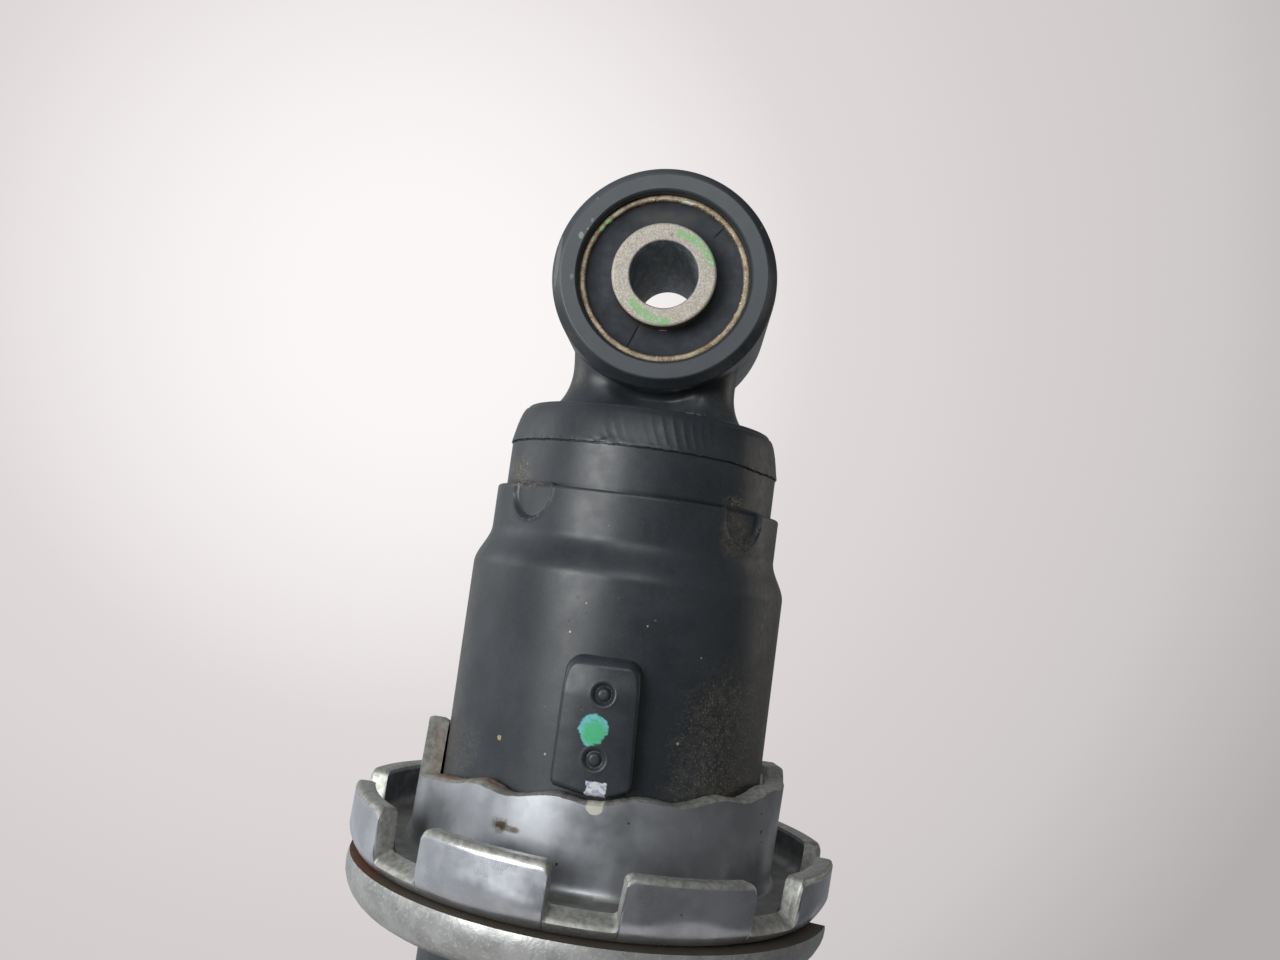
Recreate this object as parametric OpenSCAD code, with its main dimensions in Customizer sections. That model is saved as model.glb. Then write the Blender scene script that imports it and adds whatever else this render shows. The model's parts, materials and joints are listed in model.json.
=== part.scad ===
// Rear shock absorber: a gas-charged damper with a rubber-bushed upper eye, a
// stepped preload collar, a ground coil spring and a forked lower mount.
// Millimetres. The origin is the centre of the upper bolt bore, +Z runs up
// along the damper and Y lies along the bolt. The shock is fully extended.

/* [Mounts] */
// Radius of the bolt bore in the upper and lower mounts
bolt_r = 5.1; // [4.1:0.1:6.1]
// Distance between the two bolt centres, fully extended
eye_to_eye = 312; // [304:1:340]

/* [Upper eye and bush] */
// Outside radius of the eye
eye_r = 17; // [16:0.5:20]
// Length of the eye along the bolt
eye_len = 30; // [24:1:36]
// Outside radius of the bush
bush_r = 12.9; // [12:0.1:14]
// Wall of the bush's outer sleeve
bush_wall = 1; // [0.8:0.1:1.5]
// Outside radius of the bush's inner sleeve
sleeve_r = 7.87; // [7:0.01:9]
// Length of the inner sleeve, which the frame clamps
sleeve_len = 31.4; // [30.5:0.1:38]
// Height of the head's flat top below the bolt centre
head_drop = 20.3; // [19:0.1:24]

/* [Damper tube] */
// Outside radius of the tube
tube_r = 24.5; // [23:0.5:26]
// Wall of the tube
tube_wall = 2.2; // [1.8:0.1:2.6]
// Outside radius of the tube's swaged neck
neck_r = 22.4; // [21:0.1:23]
// Height of the tube's top edge below the bolt centre
tube_top = 33.5; // [31:0.5:36]
// Height of the tube's lower edge below the bolt centre
tube_end = 182; // [176:1:190]
// Half width of the dents that lock the tube to the head
crimp_r = 4.3; // [3:0.1:5]
// Outside radius of the two cam stops
stop_r = 27; // [26:0.1:27.5]
// Width of each cam stop
stop_w = 11.8; // [8:0.1:14]

/* [Preload collar] */
// Radius of the collar's bore
collar_bore_r = 25; // [24.8:0.1:25.5]
// Wall of the collar
collar_wall = 3; // [2:0.1:4]
// Outside radius of the castellated flange
flange_r = 37; // [35:0.5:40]
// Number of spanner tabs round the flange
tabs = 8; // [6:1:10]
// Width of the spanner notches between them
notch_w = 9.9; // [7:0.1:12]
// Number of preload steps on each of the two cam ramps
steps = 6; // [3:1:6]
// Turn from one step to the next, degrees
step_turn = 27; // [20:1:27]
// Rise of each step
step_rise = 1; // [0.6:0.1:1.2]

/* [Coil spring] */
// Diameter of the spring wire
wire_d = 11.5; // [8:0.1:12]
// Mean radius of the coils
coil_r = 31.25; // [31:0.05:33]
// Coils between the two end turns
free_coils = 5; // [4:1:6]
// Installed length of the spring
spring_len = 157; // [150:1:165]

/* [Rod and lower mount] */
// Radius of the piston rod
rod_r = 6.25; // [5.5:0.25:7]
// Travel of the damper
travel = 50; // [30:1:50]
// Gap between the fork's two ears
fork_gap = 24; // [16:1:28]
// Thickness of each ear
ear_t = 8; // [6:0.5:10]
// Radius of the ears round the bolt
ear_r = 14; // [12:0.5:16]

/* [Hidden] */
$fn = 96;

fit = 0.05; // clearance of a sliding fit
tube_in = tube_r - tube_wall;
neck_in = neck_r - tube_wall;
neck_end = tube_top + 6.5; // where the swaged neck starts to flare
flare_end = neck_end + 6;
crimps = 4;
first_crimp = -42.5;

// Head, from the flat top down
head_top_r = 19.5;
head_rim_r = 21.2;
head_rim = head_drop + 6.7;
head_ring_r = neck_in + 0.9;
head_end = flare_end + 10.5;
head_groove = flare_end + 4.2;
ring_w = 3; // width of a groove for a round sealing ring
ring_d = 2.35; // section of a sealing ring, squeezed

// Rod assembly, heights below the bolt centre
guide_top = tube_end - 22;
guide_len = 16.3;
rubber_h = 5;
washer_top = guide_top - rubber_h - 2;
shim_t = 0.4;
shim_rows = 4;
piston_low = washer_top - shim_t * shim_rows;
piston_h = 11;
piston_top = piston_low - piston_h;
nut_low = piston_top - shim_t * shim_rows;
piston_nut_h = 7;
stud_r = 5;
float_top = 68.5;
float_h = 11.5;

// Collar and spring
collar_r = collar_bore_r + collar_wall;
collar_foot = 91; // underside of the collar on the spring
cam_low = 77.4; // first step, the lowest
cam_wall = 70.7; // top of the end walls between the ramps
cam_dip = 0.35; // depth of each step below the crest before it
crest_at = 0.52 * step_turn; // turn from a step's dip to its crest
first_step = 2.5 - 2 * step_turn; // the photographed setting is the third step
flange_top = 81.7;
flange_floor = 88;
tab_centre = -20.2;

end_turn_depth = 1.35 * wire_d; // depth of the wire's centre after the first turn
coil_pitch = (spring_len - 2 * end_turn_depth) / free_coils;
coil_turns = free_coils + 2;
tip_azimuth = 72;

// Lower end
seat_face = collar_foot + spring_len;
seat_t = 3;
clevis_top = seat_face + 14;
lock_nut_h = 7.5;
bump_low = clevis_top - lock_nut_h - 1.5;
bump_h = bump_low - tube_end - 1.4 - travel - 0.1;
thread_r = 5.98;
thread_end = clevis_top + 19;
fork_half = fork_gap / 2 + ear_t;
boss_r = 18; // round boss of the fork under the spring seat
boss_end = clevis_top + seat_t + 13;
fork_top = boss_end + 11;

function lerp(a, b, t) = a + (b - a) * t;
function ease(t) = (1 - cos(180 * t)) / 2;

// Points of an arc from angle a0 to a1 round [x, y]
function arc(x, y, r, a0, a1, n) =
    [for (i = [0:n]) [x + r * cos(lerp(a0, a1, i / n)), y + r * sin(lerp(a0, a1, i / n))]];

// Points of a smooth flare between two radii, going down
function flare(r0, r1, z0, z1, n) = [for (i = [0:n]) [lerp(r0, r1, ease(i / n)), -lerp(z0, z1, i / n)]];

// Turns a piece to an azimuth counted from the front, -Y, towards +X
module at_azimuth(a) {
    rotate([0, 0, a - 90]) children();
}

module washer(r_in, r_out, z_top, h) {
    translate([0, 0, -z_top - h]) difference() {
        cylinder(r = r_out, h = h);
        translate([0, 0, -1]) cylinder(r = r_in, h = h + 2);
    }
}

module hexagon_nut(flats, hole_r, z_top, h) {
    corner = flats / sqrt(3);
    translate([0, 0, -z_top - h]) difference() {
        intersection() {
            cylinder(r = corner, h = h, $fn = 6);
            rotate_extrude() polygon([
                [0, 0], [flats / 2, 0], [corner + 0.1, 1], [corner + 0.1, h - 1], [flats / 2, h], [0, h]
            ]);
        }
        translate([0, 0, -1]) cylinder(r = hole_r, h = h + 2);
    }
}

// Upper eye and bush

module eye_ring() {
    half = eye_len / 2;
    chamfer = 1.25;
    rotate([90, 0, 0]) rotate_extrude() polygon([
        [0, -half], [eye_r - chamfer, -half], [eye_r, chamfer - half],
        [eye_r, half - chamfer], [eye_r - chamfer, half], [0, half]
    ]);
}

// Section of the neck at height t, from 0 inside the eye to 1 at the head
module neck_section(t) {
    half_x = lerp(12.6, 15.6, pow(t, 4));
    half_y = lerp(9.4, 12.6, pow(t, 4));
    r = 4;
    for (x = [r - half_x, half_x - r]) {
        for (y = [r - half_y, half_y - r]) {
            translate([x, y, -lerp(9, head_drop + 0.2, t)]) cylinder(r = r, h = 0.2, $fn = 32);
        }
    }
}

module eye_neck() {
    levels = [0, 0.45, 0.7, 0.86, 1];
    for (i = [1:len(levels) - 1]) {
        hull() {
            neck_section(levels[i - 1]);
            neck_section(levels[i]);
        }
    }
}

module head_body() {
    rotate_extrude() polygon(concat(
        [[0, -head_drop]],
        arc(head_top_r - 1, -head_drop - 1, 1, 90, 15, 4),
        [for (t = [0.3, 0.6, 0.85, 1]) [
            lerp(head_top_r, head_rim_r, sqrt(t)), -lerp(head_drop + 1.2, head_rim, t)
        ]],
        [
            [head_ring_r, -head_rim - 0.15], [head_ring_r, -tube_top], [neck_in - 0.1, -tube_top],
            [neck_in - 0.1, -neck_end - 2.5], [tube_in - 0.1, -flare_end - 2.5],
            [tube_in - 0.1, -head_groove], [tube_in - ring_d - 0.05, -head_groove],
            [tube_in - ring_d - 0.05, -head_groove - ring_w], [tube_in - 0.1, -head_groove - ring_w],
            [tube_in - 0.1, 1 - head_end], [tube_in - 1.1, -head_end], [0, -head_end]
        ]
    ));
}

module eye_head() {
    color("#2f3437") difference() {
        union() {
            eye_ring();
            eye_neck();
            head_body();
        }
        rotate([90, 0, 0]) cylinder(r = bush_r, h = eye_len + 10, center = true);
        for (s = [-1, 1]) {
            rotate([90 * s, 0, 0]) translate([0, 0, eye_len / 2 - 0.6])
                cylinder(r1 = bush_r, r2 = bush_r + 1.2, h = 1.2);
        }
    }
}

module bush_outer_sleeve() {
    color("#8c7f6c") rotate([90, 0, 0]) difference() {
        cylinder(r = bush_r, h = eye_len - 3, center = true);
        cylinder(r = bush_r - bush_wall, h = eye_len, center = true);
    }
}

// Rubber between the sleeves, hollowed at both ends, with two moulding grooves
module bush_rubber() {
    r_in = sleeve_r + 0.03;
    r_out = bush_r - bush_wall;
    half = eye_len / 2 - 2;
    dip = 0.9;
    color("#1b1d1f") difference() {
        rotate([90, 0, 0]) rotate_extrude() polygon(concat(
            [[r_in, -half], [r_in, half]],
            [for (t = [0.15:0.15:0.85]) [lerp(r_in, r_out, t), half - dip * sin(180 * t)]],
            [[r_out, half], [r_out, -half]],
            [for (t = [0.85:-0.15:0.15]) [lerp(r_in, r_out, t), dip * sin(180 * t) - half]]
        ));
        for (a = [47.5, 249.5], s = [-1, 1]) {
            rotate([0, -a, 0]) translate([(r_in + r_out) / 2, s * half, 0])
                cube([r_out - r_in - 0.6, 2.4, 0.5], center = true);
        }
    }
}

module bush_inner_sleeve() {
    half = sleeve_len / 2;
    color("#a79c8a") rotate([90, 0, 0]) rotate_extrude() polygon([
        [bolt_r + 0.5, -half], [sleeve_r - 0.4, -half], [sleeve_r, 0.4 - half], [sleeve_r, half - 0.4],
        [sleeve_r - 0.4, half], [bolt_r + 0.5, half], [bolt_r, half - 0.5], [bolt_r, 0.5 - half]
    ]);
}

// Sealing ring of round section that seats in a groove cut from the bore radius r
module sealing_ring(r, groove_top) {
    translate([0, 0, -groove_top - ring_w / 2]) rotate_extrude() translate([r - ring_d / 2, 0])
        circle(d = ring_d, $fn = 32);
}

module head_o_ring() {
    color("#161718") sealing_ring(tube_in - 0.02, head_groove);
}

// Damper tube and its cam stops

// Flat-floored dent, open at the tube's edge and round below
module crimp_dent(a) {
    depth = 1.2;
    centre = tube_top + 1;
    at_azimuth(a) translate([neck_r - depth, 0, -centre]) {
        rotate([0, 90, 0]) cylinder(r = crimp_r, h = 4);
        translate([0, -crimp_r, 0]) cube([4, 2 * crimp_r, 4]);
    }
}

module damper_tube() {
    ring_z = tube_end - 4.5;
    color("#2f3437") difference() {
        rotate_extrude() polygon(concat(
            [[neck_in, -tube_top], [neck_r - 0.4, -tube_top], [neck_r, -tube_top - 0.4]],
            flare(neck_r, tube_r, neck_end, flare_end, 8),
            [[tube_r, 1 - tube_end], [tube_r - 1, -tube_end], [tube_in, -tube_end]],
            [for (i = [8:-1:0]) flare(neck_in, tube_in, neck_end + 1, flare_end + 1, 8)[i]]
        ));
        for (i = [0:crimps - 1]) {
            crimp_dent(first_crimp + 360 * i / crimps);
        }
        translate([0, 0, -ring_z]) rotate_extrude() translate([tube_in, 0]) circle(r = 1.15, $fn = 32);
    }
}

// Outline of a cam stop seen from outside: a rounded top, oblique lower
// corners and a nose that sits in a dip of the cam
module stop_outline(inset) {
    half = stop_w / 2 - inset;
    top = 56.4 + inset;
    nose = 74.4 - inset;
    r = 2;
    polygon(concat(
        arc(half - r, -top - r, r, 0, 90, 6),
        arc(r - half, -top - r, r, 90, 180, 6),
        [[-half, -nose + 1.5], [0.9 - half, -nose + 0.6], [-0.6, -nose], [3.2, -nose]],
        [[half - 0.6, -nose + 0.5], [half, -nose + 1.2]]
    ));
}

module stop_ring_mark(z) {
    translate([0.2, -stop_r - 1, -z]) rotate([-90, 0, 0]) difference() {
        cylinder(r = 1.9, h = 1.7, $fn = 48);
        cylinder(r = 1.1, h = 4, $fn = 48);
    }
}

module cam_stop() {
    color("#2f3437") difference() {
        intersection() {
            hull() {
                translate([0, 1 - tube_r, 0]) rotate([90, 0, 0]) linear_extrude(2.2) stop_outline(0);
                translate([0, 1 - tube_r, 0]) rotate([90, 0, 0]) linear_extrude(3.6) stop_outline(0.8);
            }
            translate([0, 0, -80]) cylinder(r = stop_r, h = 30);
        }
        translate([0, 0, -81]) cylinder(r = tube_r, h = 32);
        stop_ring_mark(61);
        stop_ring_mark(70);
    }
}

module cam_stop_front() {
    cam_stop();
}

module cam_stop_rear() {
    rotate([0, 0, 180]) cam_stop();
}

// Gas piston above the oil

module floating_piston() {
    r = tube_in - 2 * fit;
    groove_r = tube_in - ring_d - 0.05;
    groove = float_top + float_h / 2 - ring_w / 2;
    color("#b9bcbe") rotate_extrude() polygon([
        [0, -float_top - 6], [15, -float_top - 6], [17.5, -float_top], [r - 0.6, -float_top],
        [r, -float_top - 0.6], [r, -groove], [groove_r, -groove], [groove_r, -groove - ring_w],
        [r, -groove - ring_w], [r, 0.6 - float_top - float_h], [r - 0.6, -float_top - float_h],
        [0, -float_top - float_h]
    ]);
}

module floating_piston_ring() {
    color("#161718") sealing_ring(tube_in - fit, float_top + float_h / 2 - ring_w / 2);
}

// Rod, piston and valve

module piston_nut() {
    color("#9a9ea1") hexagon_nut(17, stud_r + 0.02, nut_low - piston_nut_h, piston_nut_h);
}

// Stack of valve shims, the widest against the piston
module shim_stack(z_wide, upward) {
    for (i = [0:shim_rows - 1]) {
        z = z_wide - upward * shim_t * (upward > 0 ? i + 1 : i);
        washer(stud_r + 0.02, 18 - 2.5 * i, z, shim_t);
    }
}

module compression_shims() {
    color("#c4c7c9") shim_stack(piston_top, 1);
}

module rebound_shims() {
    color("#c4c7c9") shim_stack(piston_low, -1);
}

module damper_piston() {
    r = tube_in - 0.3;
    band_h = 6;
    ports = 6;
    color("#8d9093") difference() {
        washer(stud_r + 0.02, r, piston_top, piston_h);
        translate([0, 0, -piston_top - (piston_h + band_h) / 2]) difference() {
            cylinder(r = r + 1, h = band_h);
            translate([0, 0, -1]) cylinder(r = r - 1.3, h = band_h + 2);
        }
        for (i = [0:ports - 1]) {
            rotate([0, 0, 360 * i / ports]) translate([13.5, 0, -piston_low - 1])
                cylinder(r = 1.7, h = piston_h + 2, $fn = 24);
        }
    }
}

module piston_band() {
    band_h = 5.9;
    color("#3a3026") washer(tube_in - 1.59, tube_in - fit, piston_top + (piston_h - band_h) / 2, band_h);
}

module top_out_washer() {
    color("#9a9ea1") washer(stud_r + 0.02, 15, washer_top, 2);
}

module top_out_rubber() {
    color("#1b1d1f") washer(rod_r + 0.03, 14, washer_top + 2, rubber_h - 0.02);
}

module piston_rod() {
    stud_top = nut_low - piston_nut_h - 0.6;
    shoulder = washer_top + 2;
    thread_top = clevis_top - lock_nut_h;
    color("#c9cdd1") rotate_extrude() polygon([
        [0, -stud_top], [stud_r - 0.6, -stud_top], [stud_r, -stud_top - 0.6], [stud_r, -shoulder],
        [rod_r, -shoulder], [rod_r, -thread_top], [thread_r, -thread_top],
        [thread_r, 0.6 - thread_end], [thread_r - 0.6, -thread_end], [0, -thread_end]
    ]);
}

// Guide and seals at the lower end of the tube

module rod_guide() {
    r = tube_in - 0.05;
    bush_out = rod_r + 1.31;
    groove_r = tube_in - ring_d - 0.05;
    groove = guide_top + 6;
    low = guide_top + guide_len;
    color("#a9adb0") rotate_extrude() polygon([
        [bush_out, -guide_top], [r - 0.8, -guide_top], [r, -guide_top - 0.8], [r, -groove],
        [groove_r, -groove], [groove_r, -groove - ring_w], [r, -groove - ring_w], [r, 0.6 - low],
        [r - 0.6, -low], [13.05, -low], [13.05, -low + 4.9], [rod_r + 0.5, -low + 4.9],
        [rod_r + 0.5, -low + 5.9], [bush_out, -low + 5.9]
    ]);
}

module guide_o_ring() {
    color("#161718") sealing_ring(tube_in - 0.02, guide_top + 6);
}

module guide_bush() {
    color("#7a6a4a") washer(rod_r + 0.04, rod_r + 1.29, guide_top + 0.4, guide_len - 6.4);
}

// Seal with a lip that points up to the oil and a garter groove behind it
module oil_seal() {
    low = guide_top + guide_len;
    color("#1b1d1f") rotate_extrude() polygon([
        [rod_r + 0.06, -low + 3.6], [rod_r + 0.06, -low + 2.6], [rod_r + 1.2, -low + 1.4],
        [rod_r + 1.2, -low + 0.1], [13, -low + 0.1], [13, -low + 4.8], [11.6, -low + 4.8],
        [11.6, -low + 1.8], [9.6, -low + 1.8], [8.6, -low + 4.4]
    ]);
}

module retaining_ring() {
    gap = 20;
    color("#6f7376") translate([0, 0, 4.5 - tube_end]) rotate([0, 0, gap / 2])
        rotate_extrude(angle = 360 - gap) translate([tube_in - 0.05, 0]) circle(r = 1.05, $fn = 32);
}

module dust_cap() {
    lip = tube_end + 1.4;
    color("#25282a") rotate_extrude() polygon([
        [rod_r + 0.3, -lip + 1], [rod_r + 0.9, -lip], [tube_r - 1.6, -lip], [tube_r - 0.6, -lip + 0.5],
        [tube_r - 0.6, -tube_end], [tube_in - 0.1, -tube_end], [tube_in - 0.1, -tube_end + 2.6],
        [tube_in - 1.3, -tube_end + 2.6], [tube_in - 1.3, -tube_end], [rod_r + 1.6, -tube_end],
        [rod_r + 0.3, -tube_end + 0.8]
    ]);
}

// Preload collar

// Height of the cam edge at azimuth a on one ramp, from its first step up to
// the end wall
function cam_height(a) =
    let (
        last = first_step + (steps - 1) * step_turn,
        k = floor((a - first_step) / step_turn),
        t = a - first_step - k * step_turn,
        low = -cam_low + k * step_rise
    )
    a < first_step ? -cam_low
    : a >= last + 16 ? -cam_wall
    : a > last + 8 ? lerp(-cam_low + (steps - 1) * step_rise, -cam_wall, ease((a - last - 8) / 8))
    : a >= last ? -cam_low + (steps - 1) * step_rise
    : t < crest_at ? low + (step_rise + cam_dip) * ease(t / crest_at)
    : low + step_rise + cam_dip * ease((step_turn - t) / (step_turn - crest_at));

// Ring with a wavy underside that cuts both ramps into the collar's tube
module cam_cutter() {
    r_in = collar_bore_r - 1;
    r_out = collar_r + 1;
    ramp_end = 105;
    ramp = concat([ramp_end - 179.6], [for (a = [-72:3:ramp_end]) a]);
    angles = concat(ramp, [for (a = ramp) a + 180]);
    heights = [for (a = ramp) cam_height(a)];
    n = len(angles);
    points = [for (i = [0:n - 1]) each [
        for (p = [[r_in, heights[i % len(ramp)]], [r_out, heights[i % len(ramp)]], [r_out, -60], [r_in, -60]])
            [p[0] * sin(angles[i]), -p[0] * cos(angles[i]), p[1]]
    ]];
    faces = [for (i = [0:n - 1], s = [0:3]) each
        let (a = 4 * i + s, b = 4 * i + (s + 1) % 4, c = 4 * ((i + 1) % n) + (s + 1) % 4,
            d = 4 * ((i + 1) % n) + s)
        [[a, b, c], [a, c, d]]
    ];
    polyhedron(points = points, faces = faces);
}

// Slot open at the top, with round lower corners and eased upper ones
module notch_outline() {
    r = 2;
    half = notch_w / 2;
    h = flange_floor - flange_top - 0.6;
    polygon(concat(
        arc(r - half, r, r, 180, 270, 6),
        arc(half - r, r, r, 270, 360, 6),
        [[half, h - 1], [half + 1, h + 0.1], [half + 1, h + 4], [-half - 1, h + 4]],
        [[-half - 1, h + 0.1], [-half, h - 1]]
    ));
}

module preload_collar() {
    foot = collar_foot;
    wall_in = flange_r - collar_wall + 0.2;
    color("#9aa0a8") difference() {
        rotate_extrude() polygon(concat(
            [[collar_bore_r, 1 - foot], [collar_bore_r, -cam_wall], [collar_r, -cam_wall]],
            arc(collar_r + 1.5, -flange_floor + 1.5, 1.5, 180, 270, 5),
            arc(wall_in - 1.5, -flange_floor + 1.5, 1.5, 270, 360, 5),
            [[wall_in, -flange_top - 0.3], [wall_in + 0.3, -flange_top]],
            [[flange_r - 0.5, -flange_top], [flange_r, -flange_top - 0.5]],
            arc(flange_r - 4, -foot + 4, 4, 0, -90, 8),
            [[collar_bore_r + 1, -foot]]
        ));
        cam_cutter();
        for (i = [0:tabs - 1]) {
            at_azimuth(tab_centre + 180 / tabs + 360 * i / tabs)
                translate([wall_in - 3, 0, -flange_floor + 0.6]) rotate([90, 0, 90])
                    linear_extrude(10) notch_outline();
        }
    }
}

// Coil spring

// Depth of the wire's centre below the ground face, u turns from the tip: half
// a turn is nearly flat, then the wire dives under its own tip
function end_depth(u) =
    let (
        flat_end = 0.45,
        d0 = 0.6,
        d1 = 1.8,
        d2 = end_turn_depth,
        h = 1 - flat_end,
        t = (u - flat_end) / h,
        m1 = (d1 - d0) / flat_end * h,
        m2 = coil_pitch * h
    )
    u < flat_end ? lerp(d0, d1, u / flat_end)
    : (2 * pow(t, 3) - 3 * pow(t, 2) + 1) * d1 + (pow(t, 3) - 2 * pow(t, 2) + t) * m1
        + (3 * pow(t, 2) - 2 * pow(t, 3)) * d2 + (pow(t, 3) - pow(t, 2)) * m2;
function wire_height(u) =
    u < 1 ? -collar_foot - end_depth(u)
    : u > coil_turns - 1 ? -seat_face + end_depth(coil_turns - u)
    : -collar_foot - end_turn_depth - (u - 1) * coil_pitch;

// Wire swept down a right-hand helix, then ground flat at both ends
module coil_spring() {
    sides = 14;
    per_turn = 26;
    n = coil_turns * per_turn;
    points = [for (i = [0:n], s = [0:sides - 1])
        let (
            u = i / per_turn,
            a = tip_azimuth - 360 * u,
            r = coil_r + wire_d / 2 * cos(360 * s / sides)
        )
        [r * sin(a), -r * cos(a), wire_height(u) + wire_d / 2 * sin(360 * s / sides)]
    ];
    skin = [for (i = [0:n - 1], s = [0:sides - 1]) each
        let (a = i * sides + s, b = i * sides + (s + 1) % sides, c = b + sides, d = a + sides)
        [[a, b, c], [a, c, d]]
    ];
    caps = [[for (s = [sides - 1:-1:0]) s], [for (s = [0:sides - 1]) n * sides + s]];
    color("#b4b6b5") intersection() {
        polyhedron(points = points, faces = concat(skin, caps));
        translate([0, 0, -seat_face]) cylinder(r = coil_r + wire_d, h = spring_len, $fn = 12);
    }
}

// Lower end

// Ribbed rubber that takes the last of the travel
module bump_rubber() {
    r_in = rod_r + 0.1;
    ribs = 3;
    color("#17191a") rotate_extrude() polygon(concat(
        [[r_in, -bump_low]],
        [for (i = [0:6 * ribs]) [
            lerp(14.6, 9.6, i / (6 * ribs)) - 1.1 * (1 - cos(360 * i / 6)),
            lerp(-bump_low, bump_h - bump_low, i / (6 * ribs))
        ]],
        [[r_in, bump_h - bump_low]]
    ));
}

module bump_washer() {
    color("#9a9ea1") washer(rod_r + 0.1, 15.5, bump_low, 1.5);
}

module lock_nut() {
    color("#a8abad") hexagon_nut(19, thread_r + 0.02, clevis_top - lock_nut_h, lock_nut_h);
}

// Pressed dish: a deep centre on the clevis and a flat with a turned-up rim
// round the last coil
module lower_spring_seat() {
    hole_r = 14.1;
    flat_r = 18.5;
    slope_r = 25.5;
    rim_r = coil_r + wire_d / 2 + 1.2;
    rim_top = seat_face - 6.5;
    dish = clevis_top;
    color("#25282a") rotate_extrude() polygon(concat(
        [[hole_r, -dish - seat_t], [hole_r, -dish], [flat_r, -dish], [slope_r, -seat_face]],
        arc(rim_r - 1, -seat_face + 1, 1, -90, 0, 4),
        arc(rim_r + seat_t - 1.5, -rim_top - 1.5, 1.5, 90, 0, 4),
        arc(rim_r + seat_t - 5, -seat_face - seat_t + 5, 5, 0, -90, 8),
        [[slope_r + 1.9, -seat_face - seat_t], [flat_r + 1.9, -dish - seat_t]]
    ));
}

// Side view of the ears, from the bolt up to the fork's root
module ear_outline(inset) {
    r = ear_r - inset;
    translate([0, -eye_to_eye]) circle(r = r);
    translate([-r, -eye_to_eye]) square([2 * r, eye_to_eye - fork_top + 0.2]);
}

// Fork with a threaded socket for the rod, a round root and two bolt ears
module lower_clevis() {
    shoulder = clevis_top + seat_t;
    root_z = eye_to_eye - fork_gap / 2;
    chamfer = 1.2;
    color("#2f3437") difference() {
        union() {
            rotate_extrude() polygon([
                [0, -clevis_top], [13.2, -clevis_top], [13.9, -clevis_top - 0.7], [13.9, -shoulder],
                [boss_r - 1, -shoulder], [boss_r, -shoulder - 1], [boss_r, -boss_end], [0, -boss_end]
            ]);
            hull() {
                translate([0, 0, -boss_end]) cylinder(r = boss_r, h = 1, $fn = 48);
                for (x = [2 - ear_r, ear_r - 2], y = [2 - fork_half, fork_half - 2]) {
                    translate([x, y, -fork_top]) cylinder(r = 2, h = 0.2, $fn = 24);
                }
            }
            hull() {
                rotate([90, 0, 0]) linear_extrude(2 * (fork_half - chamfer), center = true) ear_outline(0);
                rotate([90, 0, 0]) linear_extrude(2 * fork_half, center = true) ear_outline(chamfer);
            }
        }
        translate([0, 0, -root_z]) rotate([0, 90, 0]) cylinder(r = fork_gap / 2, h = 60, center = true);
        translate([-30, -fork_gap / 2, -root_z - 60]) cube([60, fork_gap, 60]);
        translate([0, 0, -eye_to_eye]) rotate([90, 0, 0])
            cylinder(r = bolt_r, h = 2 * fork_half + 10, center = true);
        translate([0, 0, -thread_end - 2]) cylinder(r = thread_r + 0.02, h = 60);
    }
}

eye_head();
bush_outer_sleeve();
bush_rubber();
bush_inner_sleeve();
head_o_ring();
damper_tube();
cam_stop_front();
cam_stop_rear();
floating_piston();
floating_piston_ring();
piston_nut();
compression_shims();
damper_piston();
piston_band();
rebound_shims();
top_out_washer();
top_out_rubber();
piston_rod();
rod_guide();
guide_o_ring();
guide_bush();
oil_seal();
retaining_ring();
dust_cap();
preload_collar();
coil_spring();
bump_rubber();
bump_washer();
lock_nut();
lower_spring_seat();
lower_clevis();
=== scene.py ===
import json
import math

import bmesh
import bpy
from mathutils import Matrix, Vector, noise

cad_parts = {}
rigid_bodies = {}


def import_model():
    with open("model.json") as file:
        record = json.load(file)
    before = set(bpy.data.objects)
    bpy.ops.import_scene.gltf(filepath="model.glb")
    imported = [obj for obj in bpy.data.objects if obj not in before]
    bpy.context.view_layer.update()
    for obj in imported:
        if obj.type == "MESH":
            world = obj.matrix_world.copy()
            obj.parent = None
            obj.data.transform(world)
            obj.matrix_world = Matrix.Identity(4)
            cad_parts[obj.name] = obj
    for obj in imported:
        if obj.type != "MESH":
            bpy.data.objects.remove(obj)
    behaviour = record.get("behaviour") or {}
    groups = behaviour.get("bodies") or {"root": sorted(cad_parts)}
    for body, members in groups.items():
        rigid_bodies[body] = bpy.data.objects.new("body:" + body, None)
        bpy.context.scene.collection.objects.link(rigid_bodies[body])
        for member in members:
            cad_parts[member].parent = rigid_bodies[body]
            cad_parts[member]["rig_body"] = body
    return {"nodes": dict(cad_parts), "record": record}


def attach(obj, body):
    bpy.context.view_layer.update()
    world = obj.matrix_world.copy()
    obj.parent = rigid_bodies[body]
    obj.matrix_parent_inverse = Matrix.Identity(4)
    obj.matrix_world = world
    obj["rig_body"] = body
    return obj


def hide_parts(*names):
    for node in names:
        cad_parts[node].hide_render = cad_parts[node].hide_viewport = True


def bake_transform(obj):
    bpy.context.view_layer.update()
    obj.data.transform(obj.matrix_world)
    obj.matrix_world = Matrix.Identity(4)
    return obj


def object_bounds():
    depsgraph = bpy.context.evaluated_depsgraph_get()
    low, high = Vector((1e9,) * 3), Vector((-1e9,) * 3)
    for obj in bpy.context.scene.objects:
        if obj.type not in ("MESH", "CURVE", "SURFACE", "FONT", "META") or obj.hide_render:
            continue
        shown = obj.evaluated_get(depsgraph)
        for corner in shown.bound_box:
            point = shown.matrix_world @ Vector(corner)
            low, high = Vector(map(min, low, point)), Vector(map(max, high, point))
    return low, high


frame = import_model()
cadBox = [list(corner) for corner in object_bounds()]
mm = 0.001
print("frame loaded,", len(frame["nodes"]), "nodes")


# Camera, at the photograph's viewing angle: places in millimetres, directions as unit vectors

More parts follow.
